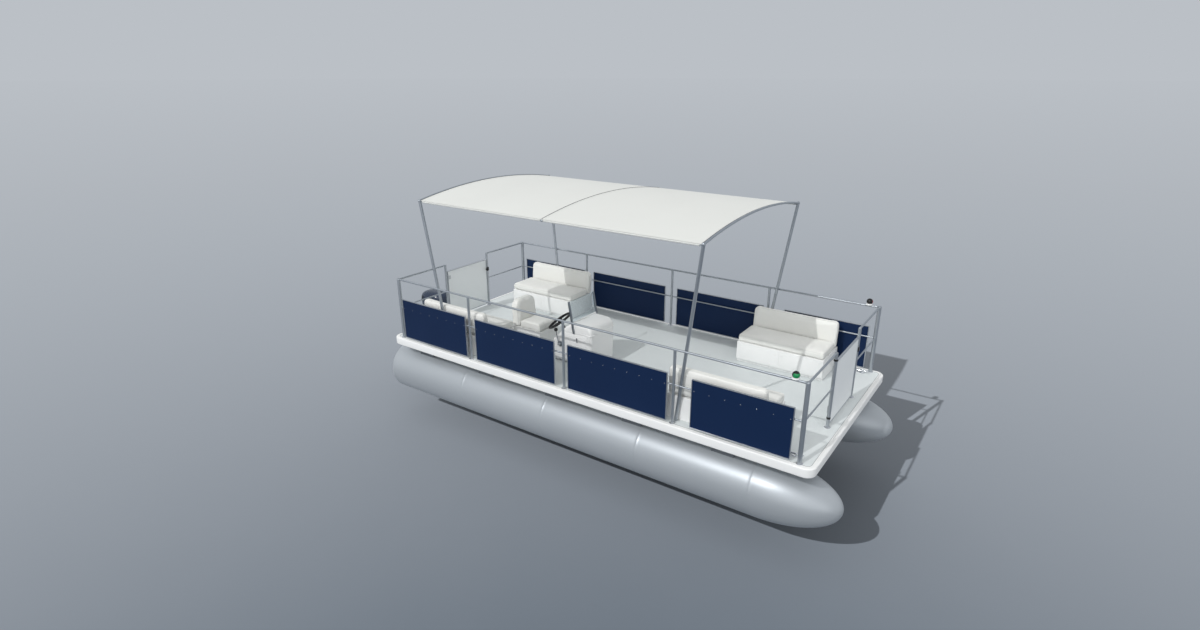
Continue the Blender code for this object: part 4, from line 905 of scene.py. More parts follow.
middle_drop = 0.0025 + 0.0003 + HOOP_RADIUS
side_z = canopy_height(side_y) - middle_drop
parts = [swept(arch(CANOPY_MIDDLE, side_y, middle_drop), HOOP_RADIUS, 20)]
for _, sign in SIDES:
    ends = [(CANOPY_STERN + 0.018, sign * side_y, side_z), (CANOPY_BOW - 0.018, sign * side_y, side_z)]
    parts.append(swept(ends, SIDE_TUBE, 20))
    parts.append(knob((CANOPY_MIDDLE, sign * side_y, side_z), 0.015))
piece("canopy_bow_middle", parts, satin_tube, nodes=["canopy_frame_middle"])

cloth_stern = CANOPY_STERN + HOOP_RADIUS + 0.0005
cloth_bow = CANOPY_BOW - HOOP_RADIUS - 0.0005


def cloth_top(x, y):
    """Height of the stretched cloth, which sags a little between its bows."""
    bay_start, bay_end = (cloth_stern, CANOPY_MIDDLE) if x < CANOPY_MIDDLE else (CANOPY_MIDDLE, cloth_bow)
    share = (x - bay_start) / (bay_end - bay_start)
    hang = math.sin(math.pi * share) ** 2 * (1 - (abs(y) / CANOPY_HALF) ** 3)
    return canopy_height(y) - CLOTH_SAG * hang


cloth_xs = [cloth_stern + (cloth_bow - cloth_stern) * i / 150 for i in range(151)]
cloth_half = CANOPY_HALF - 0.0005
cloth_ys = [-cloth_half + 2 * cloth_half * j / 72 for j in range(73)]
woven_acrylic = surface(
    "woven_acrylic", (0.675, 0.684, 0.655), (0.645, 0.654, 0.626), (0.80, 0.92),
    patches=1.3, grain=500, bump=0.0004, bump_grain=380, sheen=0.08,
)


def shell(top, low, columns):
    """A closed skin between two grids of points."""
    count = len(top)
    rows = count // columns
    faces = []
    for i in range(rows - 1):
        for j in range(columns - 1):
            a, b = i * columns + j, (i + 1) * columns + j
            faces.append((a, b, b + 1, a + 1))
            faces.append((count + a, count + a + 1, count + b + 1, count + b))
    edges = [(i * columns + j, (i + 1) * columns + j) for i in range(rows - 1) for j in (0, columns - 1)]
    edges += [(i * columns + j, i * columns + j + 1) for j in range(columns - 1) for i in (0, rows - 1)]
    faces += [(a, b, count + b, count + a) for a, b in edges]
    return solid(top + low, faces)


def cloth_strip(xs, ys, lift, thickness):
    """A strip of cloth that lies on the canopy's curve."""
    top = [(x, y, cloth_top(x, y) + lift) for x in xs for y in ys]
    return shell(top, [(x, y, z - thickness) for x, y, z in top], len(ys))


cloth = piece(
    "canopy_sheet", [cloth_strip(cloth_xs, cloth_ys, 0.0018, 0.0024)], woven_acrylic,
    nodes=["canopy_cloth"],
)
sleeves = []
for start, width in ((cloth_stern, 0.050), (CANOPY_MIDDLE - 0.030, 0.060), (cloth_bow - 0.050, 0.050)):
    sleeve_xs = [start + width * i / 4 for i in range(5)]
    sleeves.append(cloth_strip(sleeve_xs, cloth_ys, 0.0030, 0.0011))
for _, sign in SIDES:
    y = sign * side_y
    for start, stop in (
        (cloth_stern + 0.030, CANOPY_MIDDLE - 0.020), (CANOPY_MIDDLE + 0.020, cloth_bow - 0.030),
    ):
        sleeves.append(swept([(start, y, side_z), (stop, y, side_z)], SIDE_TUBE + 0.0025, 20))
hem = piece("canopy_sleeves", sleeves, woven_acrylic)
thread = surface(
    "bound_edge", (0.115, 0.120, 0.125), (0.080, 0.084, 0.088), (0.6, 0.8),
    patches=20, grain=300, bump=0.0001,
)
cords = []
for x in (cloth_stern + 0.004, CANOPY_MIDDLE, cloth_bow - 0.004):
    cords.append(swept([(x, y, cloth_top(x, y) + 0.0030) for y in cloth_ys[::2]], 0.0042, 10))
binding = piece("canopy_binding", cords, thread)


# Benches. Each is a moulded white locker with a toe recess and two flush doors, which carries
# a one-piece foam seat and a leaning back, both in cream marine vinyl with piped seams.
BENCH_SPANS = (("bow", 1.260, 2.350), ("stern", -2.400, -1.280))
BENCH_FRONT = 0.588
BENCH_BACK = 1.130
BASE_HEIGHT = 0.262
BASE_SETBACK = 0.014
SEAT_LOW = 0.2623
SEAT_HIGH = 0.3623
BACK_DEPTH = 0.105
BACK_TOP = 0.600
PAD_GAP = 0.0003
BACK_CORNER = 0.060
BACK_RAKE = 0.024
TOE_HEIGHT = 0.032
TOE_DEPTH = 0.030
PAD_SLACK = 0.009
PAD_RISE = 0.013
SEAT_VOXEL = 0.0125
PIPING = 0.0032

marine_vinyl = surface(
    "marine_vinyl", (0.825, 0.825, 0.790), (0.785, 0.784, 0.748), (0.40, 0.56),
    patches=3.5, grain=600, bump=0.0007, bump_grain=320, sheen=0.08,
)
vinyl_piping = surface(
    "vinyl_piping", (0.755, 0.755, 0.722), (0.700, 0.700, 0.668), (0.38, 0.52),
    patches=9, grain=500, bump=0.0003,
)


def stuffed(name, mesh, voxel, low, high, rise=PAD_RISE):
    """The shape blown up as a foam-filled cover, held between two opposite corners."""
    pad = bpy.data.objects.new(name + "_cover", mesh)
    bpy.context.collection.objects.link(pad)
    voxels = pad.modifiers.new("voxels", "REMESH")
    voxels.mode = "VOXEL"
    voxels.voxel_size = voxel
    graph = bpy.context.evaluated_depsgraph_get()
    cover = bpy.data.meshes.new_from_object(pad.evaluated_get(graph))
    pad.modifiers.remove(voxels)
    bm = bmesh.new()
    bm.from_mesh(cover)
    for _ in range(3):
        bmesh.ops.smooth_vert(
            bm, verts=bm.verts, factor=0.5, use_axis_x=True, use_axis_y=True, use_axis_z=True,
        )
    bm.to_mesh(cover)
    bm.free()
    pad.data = cover
    slack = [vertex.co.copy() for vertex in cover.vertices]
    cloth = pad.modifiers.new("cloth", "CLOTH")
    settings = cloth.settings
    settings.quality = 4
    settings.mass = 0.3
    settings.tension_stiffness = 12
    settings.compression_stiffness = 12
    settings.shear_stiffness = 6
    settings.bending_stiffness = 0.6
    settings.use_pressure = True
    settings.uniform_pressure_force = 4
    settings.effector_weights.gravity = 0
    cloth.collision_settings.use_collision = False
    cloth.point_cache.frame_start = 1
    cloth.point_cache.frame_end = 20
    for step in range(1, 21):
        bpy.context.scene.frame_set(step)
    graph = bpy.context.evaluated_depsgraph_get()
    blown = bpy.data.meshes.new_from_object(pad.evaluated_get(graph))
    pad.modifiers.remove(cloth)
    for vertex, start, end in zip(cover.vertices, slack, blown.vertices):
        shift = end.co - start
        if shift.length > 1e-7:
            vertex.co = start + shift.normalized() * (rise * math.tanh(shift.length / rise))
    bpy.context.scene.frame_set(1)
    for vertex in cover.vertices:
        vertex.co = [min(max(value, a), b) for value, a, b in zip(vertex.co, low, high)]
    smooth = pad.modifiers.new("smooth", "SUBSURF")
    smooth.levels = smooth.render_levels = 1
    graph = bpy.context.evaluated_depsgraph_get()
    made = bpy.data.meshes.new_from_object(pad.evaluated_get(graph))
    bpy.data.objects.remove(pad)
    return made


def piped(pad, outline, radius=PIPING, sink=0.0008):
    """Piping laid along the pad's skin, close to the given closed outline."""
    tree = BVHTree.FromPolygons(
        [vertex.co for vertex in pad.vertices], [tuple(face.vertices) for face in pad.polygons],
    )
    ring = []
    for point in outline:
        at, normal, _, _ = tree.find_nearest(Vector(point))
        ring.append(at - normal * sink)
    for _ in range(3):
        ring = [(ring[i - 1] + ring[i] * 2 + ring[(i + 1) % len(ring)]) / 4 for i in range(len(ring))]
    return swept(ring, radius, 8, True)


def spaced(outline, gap=0.02):
    """The closed outline with points no further apart than the gap."""
    points = []
    for i, start in enumerate(outline):
        end = outline[(i + 1) % len(outline)]
        count = max(1, math.ceil((Vector(end) - Vector(start)).length / gap))
        points += [Vector(start).lerp(Vector(end), k / count) for k in range(count)]
    return points


def seat_pad(name, length, depth, height):
    """A seat pad about its own middle, its front towards -Y, standing on z = 0."""
    rolled = rounded(
        [
            (-depth / 2 + PAD_SLACK, 0.004, 0.022), (depth / 2 - 0.004, 0.004, 0.008),
            (depth / 2 - 0.004, height - PAD_SLACK, 0.014), (-depth / 2 + PAD_SLACK, height - PAD_SLACK, 0.034),
        ], 4,
    )
    shape = slab(rolled, length - 2 * PAD_SLACK, ACROSS, soften=0.020, segments=3)
    pad = stuffed(
        name, shape, SEAT_VOXEL, (-length / 2 - 0.003, -depth / 2 - 0.003, 0.0),
        (length / 2 + 0.003, depth / 2, height + 0.007),
    )
    seams = []
    for level, inset, radius in ((height - 0.012, 0.006, 0.040), (0.014, 0.004, 0.030)):
        outline = spaced([(x, y, level) for x, y in rectangle(length / 2 - inset, depth / 2 - inset, radius)])
        seams.append(piped(pad, outline))
    return pad, seams


def back_pad(name, length, depth, height, rake, corner):
    """A leaning back pad, its front towards -Y, standing on z = 0, with rounded top corners."""
    half = length / 2 - PAD_SLACK
    face = rounded(
        [
            (-half, 0.004, 0.012), (half, 0.004, 0.012),
            (half, height - PAD_SLACK, corner), (-half, height - PAD_SLACK, corner),
        ], 6,
    )
    shape = slab(face, depth - 2 * PAD_SLACK, ALONG, soften=0.024, segments=3)
    for vertex in shape.vertices:
        share = vertex.co.z / height
        thin = 1 - 0.14 * share
        vertex.co.y = vertex.co.y * thin + rake * share
    pad = stuffed(
        name, shape, SEAT_VOXEL, (-length / 2 - 0.003, -depth / 2 + 0.0003, 0.0),
        (length / 2 + 0.003, depth / 2 + rake + 0.004, height + 0.005),
    )
    seams = []
    for front in (-1, 1):
        outline = []
        ring = rounded(
            [
                (-half - 0.004, 0.010, 0.020), (half + 0.004, 0.010, 0.020),
                (half + 0.004, height - 0.004, corner), (-half - 0.004, height - 0.004, corner),
            ], 6,
        )
        for x, z in ring:
            share = z / height
            y = front * (depth / 2 - 0.010) * (1 - 0.14 * share) + rake * share
            outline.append((x, y, z))
        seams.append(piped(pad, spaced(outline)))
    return pad, seams


def locker(length, front, back, height):
    """A moulded base, its front towards -Y, with a toe recess, doors and their latches."""
    outline = rounded(
        [
            (front + TOE_DEPTH, 0.0006, 0), (back, 0.0006, 0.004), (back, height, 0.006),
            (front, height, 0.010), (front, TOE_HEIGHT, 0.012), (front + TOE_DEPTH, TOE_HEIGHT, 0.012),
        ], 4,
    )
    body = slab(outline, length, ACROSS, soften=0.007, segments=3)
    doors = []
    latches = []
    half = (length - 0.090) / 2
    for sign in (-1, 1):
        middle = (sign * half / 2, front - 0.0008, (TOE_HEIGHT + height) / 2 + 0.004)
        shape = rectangle(half / 2 - 0.0025, (height - TOE_HEIGHT) / 2 - 0.028, 0.014, 5)
        doors.append(slab(shape, 0.0036, ALONG, middle, 0.0012, 2))
        latch_at = (sign * 0.040, front - 0.004, height - 0.060)
        latches.append(spun([(0, 0.0028), (0.011, 0.0022), (0.0125, 0.0), (0, 0)], 24, latch_at, ALONG))
    return [body] + doors, latches


MIRROR = Matrix.Diagonal((1, -1, 1, 1))


def flipped(mesh, place, turn):
    """A turned or mirrored copy, its faces kept outwards."""
    copy = mesh.copy()
    copy.transform(Matrix.Translation(place) @ turn)
    if turn.determinant() < 0:
        copy.flip_normals()
    return copy


def fitted(names, node, seat, back, locker_parts, places, turn):
    """A seat's pads, piping, locker and latches, turned into their places."""
    seams = []
    for name, ending, (mesh, cords), place in zip(names, ("cushion", "back"), (seat, back), places):
        pad = piece(
            name, [flipped(mesh, place, turn)], marine_vinyl, nodes=[node + ending], smooth=80
        )
        seams += [flipped(cord, place, turn) for cord in cords]
    piece(names[2], seams, vinyl_piping)
    for name, parts, ending in zip(names[3:], locker_parts, (["base"], [])):
        parts = [flipped(part, places[2], turn) for part in parts]
        piece(name, parts, white_moulding, nodes=[node + end for end in ending])


seat_depth = BENCH_BACK - BACK_DEPTH - PAD_GAP - BENCH_FRONT
seat_middle = BENCH_FRONT + seat_depth / 2
back_middle = BENCH_BACK - BACK_DEPTH / 2
for end_name, stern, bow in BENCH_SPANS:
    length, middle = bow - stern, (bow + stern) / 2
    seat = seat_pad("bench_seat_" + end_name, length, seat_depth, SEAT_HIGH - SEAT_LOW)
    back = back_pad(
        "bench_back_" + end_name, length, BACK_DEPTH, BACK_TOP - SEAT_LOW, BACK_RAKE, BACK_CORNER
    )
    base = locker(length - 2 * BASE_SETBACK, BENCH_FRONT + BASE_SETBACK, BENCH_BACK, BASE_HEIGHT)
    for side, sign in SIDES:
        name = "%s_%s" % (end_name, side)
        labels = ("bench_seat_", "bench_rest_", "bench_piping_", "bench_locker_", "locker_latches_")
        fitted(
            [label + name for label in labels], "bench_" + name + "_", seat, back, base,
            [(middle, sign * seat_middle, SEAT_LOW), (middle, sign * back_middle, SEAT_LOW), (middle, 0, 0)],
            MIRROR if sign < 0 else Matrix.Identity(4),
        )


# Helm seat. A single seat of the same make, facing the bow, with a full round-shouldered
# back and a small moulded locker under it.
CHAIR_Y = -0.385
CHAIR_STERN = -1.385
CHAIR_FRONT = -0.875
CHAIR_HALF = 0.200
CHAIR_BACK = 0.128
CHAIR_SHOULDER = 0.115
CHAIR_TOP = 0.632

chair_back_x = CHAIR_STERN + BACK_RAKE
chair_depth = CHAIR_FRONT - chair_back_x - CHAIR_BACK - PAD_GAP
seat = seat_pad("helm_chair_seat", 2 * CHAIR_HALF, chair_depth, SEAT_HIGH - SEAT_LOW)
back = back_pad(
    "helm_chair_back", 2 * CHAIR_HALF, CHAIR_BACK, CHAIR_TOP - SEAT_LOW, BACK_RAKE, CHAIR_SHOULDER
)
base = locker(2 * (CHAIR_HALF - BASE_SETBACK), -CHAIR_FRONT + BASE_SETBACK, -chair_back_x, BASE_HEIGHT)
fitted(
    ["helm_chair_" + label for label in ("seat", "back", "piping", "locker", "latches")], "helm_seat_",
    seat, back, base,
    [(CHAIR_FRONT - chair_depth / 2, CHAIR_Y, SEAT_LOW), (chair_back_x + CHAIR_BACK / 2, CHAIR_Y, SEAT_LOW),
     (0, CHAIR_Y, 0)],
    Matrix.Rotation(math.radians(90), 4, "Z"),
)


# Console. A white moulded pedestal with a well rounded nose, a joint bead where its lid meets
# the body, a locker door on the outboard side and a dark dash panel with three dials.
HELM_Y = -0.410
CONSOLE_HALF = 0.240
CONSOLE_BOW = -0.030
CONSOLE_STERN = -0.620
CONSOLE_KNEE = 0.270
CONSOLE_TOP = 0.540
CONSOLE_NOSE = 0.530
NOSE_RADIUS = 0.085
DASH_RUN = 0.200
SCREEN_FOOT_X = -0.305
LID_HEIGHT = 0.425
WHEEL_CENTRE = Vector((-0.690, HELM_Y, 0.420))
WHEEL_AXIS = Vector((-1, 0, 1)).normalized()


def bent(corners, radius, steps=6):
    """A chain of points with its inner corners turned into arcs."""
    points = [Vector(corner) for corner in corners]
    path = [points[0]]
    for before, here, after in zip(points, points[1:], points[2:]):
        back, on = (before - here).normalized(), (after - here).normalized()
        half = back.angle(on) / 2
        middle = here + (back + on).normalized() * (radius / math.sin(half))
        start = here + back * (radius / math.tan(half)) - middle
        end = here + on * (radius / math.tan(half)) - middle
        sweep = start.rotation_difference(end)
        for k in range(steps + 1):
            path.append(middle + sweep.slerp(sweep.__class__(), 1 - k / steps) @ start)
    return path + [points[-1]]


console_outline = rounded(
    [
        (CONSOLE_STERN, 0.0006, 0), (CONSOLE_BOW, 0.0006, 0), (CONSOLE_BOW, CONSOLE_NOSE, NOSE_RADIUS),
        (SCREEN_FOOT_X, CONSOLE_TOP, 0.060), (CONSOLE_STERN + DASH_RUN, CONSOLE_KNEE + DASH_RUN, 0.050),
        (CONSOLE_STERN, CONSOLE_KNEE, 0.040),
    ], 8,
)
console = slab(console_outline, 2 * CONSOLE_HALF, ALONG, (0, HELM_Y, 0), 0.036, 6)
out_y, in_y = HELM_Y - CONSOLE_HALF, HELM_Y + CONSOLE_HALF
lid_start = CONSOLE_STERN + LID_HEIGHT - CONSOLE_KNEE
lid_bead = swept(
    bent(
        [(lid_start, out_y, LID_HEIGHT), (CONSOLE_BOW, out_y, LID_HEIGHT), (CONSOLE_BOW, in_y, LID_HEIGHT),
         (lid_start, in_y, LID_HEIGHT)], 0.022,
    ), 0.0045, 10,
)
door_at = (-0.280, out_y - 0.001, 0.240)
door_frame = slab(rectangle(0.176, 0.158, 0.030), 0.006, ALONG, door_at, 0.0025, 2)
door = slab(rectangle(0.162, 0.144, 0.022), 0.010, ALONG, door_at, 0.003, 2)
dash_turn = Matrix(((0, 0.7071068, -0.7071068, 0), (-1, 0, 0, 0), (0, 0.7071068, 0.7071068, 0), (0, 0, 0, 1)))
dash_at = Vector((CONSOLE_STERN + DASH_RUN / 2, HELM_Y, CONSOLE_KNEE + DASH_RUN / 2))
bezel = spun(
    [(0, 0.030), (0.036, 0.030), (0.040, 0.027), (0.048, 0.0), (0.048, -0.012), (0, -0.012)], 40,
    WHEEL_CENTRE - WHEEL_AXIS * ((CONSOLE_STERN - CONSOLE_KNEE - WHEEL_CENTRE.x + WHEEL_CENTRE.z) / math.sqrt(2)),
    dash_turn,
)
piece("helm_console", [console, lid_bead, door_frame, door, bezel], white_moulding, nodes=["console"])
door_latch = slab(rectangle(0.007, 0.030, 0.006), 0.006, ALONG, (-0.240, out_y - 0.009, 0.335), 0.002, 2)
piece("console_latch", [door_latch], bright_steel)

panel_at = dash_at + dash_turn @ Vector((0, 0.092, 0.0015))
panel_parts = [slab(rectangle(0.175, 0.036, 0.012), 0.004, dash_turn, panel_at, 0.0012, 2)]
dial_faces, dial_rims, dial_marks = [], [], []
for across, radius in ((-0.115, 0.027), (0.0, 0.032), (0.115, 0.027)):
    centre = dash_at + dash_turn @ Vector((across, 0.092, 0.0035))
    dial_faces.append(spun([(0, 0.003), (radius * 0.86, 0.003), (radius * 0.86, 0), (0, 0)], 32, centre, dash_turn))
    rim_profile = [
        (0, 0.001), (radius * 0.86, 0.001), (radius * 0.88, 0.0055), (radius * 0.95, 0.006),
        (radius, 0.003), (radius, 0), (0, 0),
    ]
    dial_rims.append(spun(rim_profile, 32, centre, dash_turn))
    for k in range(9):
        angle = math.radians(225 - 270 * k / 8)
        spot = dash_turn @ Matrix.Translation(
            (radius * 0.70 * math.cos(angle), radius * 0.70 * math.sin(angle), 0.0032)
        ) @ Matrix.Rotation(angle, 4, "Z")
        dial_marks.append(slab(rectangle(radius * 0.11, radius * 0.022), 0.0006, spot, centre))
    resting = Matrix.Rotation(math.radians(200), 4, "Z") @ Matrix.Translation((radius * 0.26, 0, 0.0036))
    needle = [(-radius * 0.32, -0.0009), (radius * 0.32, 0), (-radius * 0.32, 0.0009)]
    dial_marks.append(slab(needle, 0.0007, dash_turn @ resting, centre))
for across in (-0.150, -0.075, 0.072, 0.150):
    rocker = dash_at + dash_turn @ Vector((across, 0.062, 0.004))
    panel_parts.append(slab(rectangle(0.0065, 0.0035, 0.001), 0.004, dash_turn, rocker, 0.0008, 1))
piece("dash_panel", panel_parts, black_moulding)
dial_white = surface(
    "dial_face", (0.60, 0.61, 0.60), (0.52, 0.53, 0.52), (0.35, 0.5), patches=40, grain=400, bump=0.00005,
)
piece("dial_faces", dial_faces, dial_white)
piece("dial_rims", dial_rims, bright_steel)
piece("dial_marks", dial_marks, black_moulding)


# Windscreen. A clear acrylic sheet slotted into a foot bar and two flat aluminium
# side strips, which straddle the console and are screwed to its sides.
SCREEN_LEAN = 0.048
SCREEN_HEIGHT = 0.262
SCREEN_THICKNESS = 0.006
SCREEN_HALF = 0.262
SCREEN_STRIP = 0.0260
STRIP_THICKNESS = 0.018
STRIP_DROP = 0.130
SCREEN_BAR_HIGH = 0.010
SCREEN_GROOVE = 0.007

clear_acrylic = bpy.data.materials.new("clear_acrylic")
clear_acrylic.use_nodes = True
tree = clear_acrylic.node_tree
place = added(tree, "ShaderNodeTexCoord", {}).outputs["Object"]
haze = added(tree, "ShaderNodeTexNoise", {"Vector": place, "Scale": 9.0, "Detail": 6}).outputs["Fac"]
smear = added(tree, "ShaderNodeMapRange", {"Value": haze, "To Min": 0.05, "To Max": 0.16})
shader = feed(
    tree.nodes["Principled BSDF"], {"Base Color": (0.66, 0.71, 0.74, 1), "Roughness": smear.outputs["Result"]}
)
clear = added(tree, "ShaderNodeBsdfTransparent", {"Color": (0.93, 0.965, 0.98, 1)})
body = added(tree, "ShaderNodeMapRange", {"Value": haze, "To Min": 0.08, "To Max": 0.15})
sheet = added(
    tree, "ShaderNodeMixShader",
    {"Fac": body.outputs["Result"], 1: clear.outputs["BSDF"], 2: shader.outputs["BSDF"]},
)
feed(tree.nodes["Material Output"], {"Surface": sheet.outputs[0]})

screen_turn = Matrix.Rotation(-math.atan2(SCREEN_LEAN, SCREEN_HEIGHT), 4, "Y") @ ACROSS
screen_foot = Vector((SCREEN_FOOT_X, HELM_Y, CONSOLE_TOP))
screen_length = math.hypot(SCREEN_LEAN, SCREEN_HEIGHT)
strip_inner = SCREEN_HALF - SCREEN_STRIP
half = strip_inner + SCREEN_GROOVE - 0.0005
glass_outline = rounded(
    [(-half, SCREEN_BAR_HIGH - SCREEN_GROOVE, 0), (half, SCREEN_BAR_HIGH - SCREEN_GROOVE, 0),
     (half, screen_length, 0.003), (-half, screen_length, 0.003)], 4,
)
glass = slab(glass_outline, SCREEN_THICKNESS - 0.001, screen_turn, screen_foot, 0.001, 2)
piece("wind_screen", [glass], clear_acrylic, nodes=["windscreen"])
frame_strips, strip_screws = [], []
for _, sign in SIDES:
    along = (screen_length - STRIP_DROP) / 2
    strip_at = screen_turn @ Matrix.Translation((sign * (SCREEN_HALF - SCREEN_STRIP / 2), along, 0))
    outline = rectangle(SCREEN_STRIP / 2, (screen_length + STRIP_DROP) / 2, 0.0054, 5)
    frame_strips.append(slab(outline, STRIP_THICKNESS, strip_at, screen_foot, 0.002, 2))
    for down in (-0.110, -0.065):
        at = screen_foot + screen_turn @ Vector((sign * SCREEN_HALF, down, 0))
        strip_screws.append((at, (0, sign, 0)))
bar_half = SCREEN_HALF - SCREEN_STRIP / 4
bar_outline = [
    (-bar_half, -0.014), (bar_half, -0.014), (bar_half, SCREEN_BAR_HIGH), (-bar_half, SCREEN_BAR_HIGH),
]
foot_bar = slab(bar_outline, 0.012, screen_turn, screen_foot, 0.001, 1)
piece("wind_screen_foot", [foot_bar], white_moulding)
grey_anodised = surface(
    "grey_anodised", (0.30, 0.33, 0.36), (0.24, 0.265, 0.29), (0.30, 0.44), 1.0,
    patches=11, grain=170, bump=0.00006,
)
piece("wind_screen_frame", frame_strips, grey_anodised, nodes=["windscreen_frame"])
fasteners("screen_screws", rivet_tree, strip_screws, 0.0036, 0.0016, bright_steel)


# Steering wheel. A black three-spoke wheel with a moulded grip rim and finger swells, on a
# short shaft through the dash.
WHEEL_RADIUS = 0.154
WHEEL_RIM = 0.016
WHEEL_HUB = 0.034
SHAFT_RADIUS = 0.012

wheel_turn = Vector((0, 0, 1)).rotation_difference(WHEEL_AXIS).to_matrix().to_4x4()
shaft_length = (CONSOLE_STERN - CONSOLE_KNEE - WHEEL_CENTRE.x + WHEEL_CENTRE.z) / math.sqrt(2) + 0.004
rim_path, rim_radii = [], []
for k in range(96):
    angle = 2 * math.pi * k / 96
    rim_path.append((WHEEL_RADIUS * math.cos(angle), WHEEL_RADIUS * math.sin(angle), 0))
    rim_radii.append(WHEEL_RIM * (1 - 0.06 * (0.5 + 0.5 * math.cos(24 * angle))))
wheel_parts = [swept(rim_path, rim_radii, 16, True)]
wheel_bright = []
for k in range(3):
    angle = 2 * math.pi * k / 3 + math.pi / 2
    outwards = Vector((math.cos(angle), math.sin(angle), 0))
    spoke = [outwards * 0.022 + Vector((0, 0, -0.012)), outwards * 0.060 + Vector((0, 0, -0.009)),
             outwards * 0.120 + Vector((0, 0, -0.004)), outwards * (WHEEL_RADIUS - 0.004)]
    wheel_bright.append(swept(spoke, [0.010, 0.0085, 0.0075, 0.0085], 14))
wheel_parts.append(
    spun(
        [(0, 0.014), (0.018, 0.013), (0.026, 0.010), (WHEEL_HUB * 0.86, 0.004), (WHEEL_HUB, -0.008),
         (WHEEL_HUB, -0.026), (WHEEL_HUB * 0.9, -0.030), (0, -0.030)], 36,
    )
)
wheel_bright.append(spun([(0, 0), (SHAFT_RADIUS, 0), (SHAFT_RADIUS, -shaft_length), (0, -shaft_length)], 24))
piece("wheel_rim", [moved(part, WHEEL_CENTRE, wheel_turn) for part in wheel_parts], black_moulding,
      "wheel", ["steering_wheel"])
piece("wheel_spokes", [moved(part, WHEEL_CENTRE, wheel_turn) for part in wheel_bright], black_moulding,
      "wheel")


# Throttle. A side-mounted control box with a bright lever and a black ball grip.
THROTTLE = Vector((-0.500, HELM_Y - CONSOLE_HALF - 0.0263, 0.235))
THROTTLE_LENGTH = 0.185
THROTTLE_LEAN = math.radians(14)
THROTTLE_BALL = 0.024

lever_top = THROTTLE + THROTTLE_LENGTH * Vector((-math.sin(THROTTLE_LEAN), 0, math.cos(THROTTLE_LEAN)))
box_profile = [
    (0, 0.018), (0.024, 0.018), (0.030, 0.0165), (0.034, 0.012), (0.036, 0.004), (0.036, 0), (0, 0),
]
hub_profile = [(0, 0.0378), (0.014, 0.0375), (0.017, 0.034), (0.018, 0.028), (0.018, 0.010), (0, 0.010)]
side_face = (THROTTLE.x, out_y - 0.0005, THROTTLE.z)
piece("throttle_ball", [knob(lever_top, THROTTLE_BALL)], black_moulding, nodes=["throttle_lever"])
piece("throttle_box", [spun(box_profile, 40, side_face, ALONG)], grey_anodised)
hub = spun(hub_profile, 32, side_face, ALONG)
stem = swept([THROTTLE, THROTTLE.lerp(lever_top, 0.5), lever_top], [0.008, 0.0072, 0.0062], 18)
piece("throttle_stem", [hub, stem], bright_steel)


# Navigation lamps. A round white foot on the top rail carries a black ball housing with a
# coloured lens that shows from ahead to just abaft the beam: green starboard, red port.
LAMP_X = 2.607
LAMP_RADIUS = 0.035
LAMP_CENTRE = RAIL_TOP + RAIL_RADIUS + 0.040


def lens_shell(centre, radius, sign):
    """A closed slice of a ball shell, from dead ahead round to abaft the beam."""
    rays = []
    for i in range(11):
        rise = math.radians(-34 + 68 * i / 10)
        for j in range(25):
            about = sign * math.radians(-6 + 122 * j / 24)
            rays.append(Vector((math.cos(rise) * math.cos(about), math.cos(rise) * math.sin(about), math.sin(rise))))
    outer, inner = ([Vector(centre) + ray * reach for ray in rays] for reach in (radius + 0.0016, radius - 0.002))
    return shell(outer, inner, 25)


lens_colours = {
    "starboard": ((0.006, 0.26, 0.075), (0.004, 0.20, 0.055)),
    "port": ((0.42, 0.012, 0.010), (0.33, 0.008, 0.008)),
}
for side, sign in SIDES:
    centre = (LAMP_X, sign * RAIL_Y, LAMP_CENTRE)
    foot_profile = [
        (0, 0.016), (0.026, 0.016), (0.0325, 0.0125), (0.035, 0.006), (0.035, 0.0004), (0, 0.0004),
    ]
    housing = [knob(centre, LAMP_RADIUS), spun([(0, 0.010), (0.016, 0.010), (0.020, 0), (0, 0)], 28,
                                               (LAMP_X, sign * RAIL_Y, LAMP_CENTRE - LAMP_RADIUS - 0.001))]
    piece("lamp_housing_" + side, housing, black_moulding, nodes=["nav_lamp_" + side])
    lamp_foot = spun(foot_profile, 32, (LAMP_X, sign * RAIL_Y, RAIL_TOP + RAIL_RADIUS))
    piece("lamp_foot_" + side, [lamp_foot], white_moulding)
    first, second = lens_colours[side]
    lens_plastic = surface(
        "lens_" + side, first, second, (0.06, 0.14), patches=30, grain=300, bump=0.00005, coat=0.5,
    )
    piece("lamp_lens_" + side, [lens_shell(centre, LAMP_RADIUS, sign)], lens_plastic)


# Cleats. Cast and polished two-horn mooring cleats, each on two feet and an oval base
# screwed down through the deck at its corners.
CLEAT_X = 2.640
CLEAT_Y = 1.130
CLEAT_HORN = 0.090
CLEAT_HEIGHT = 0.042
CLEAT_RADIUS = 0.010

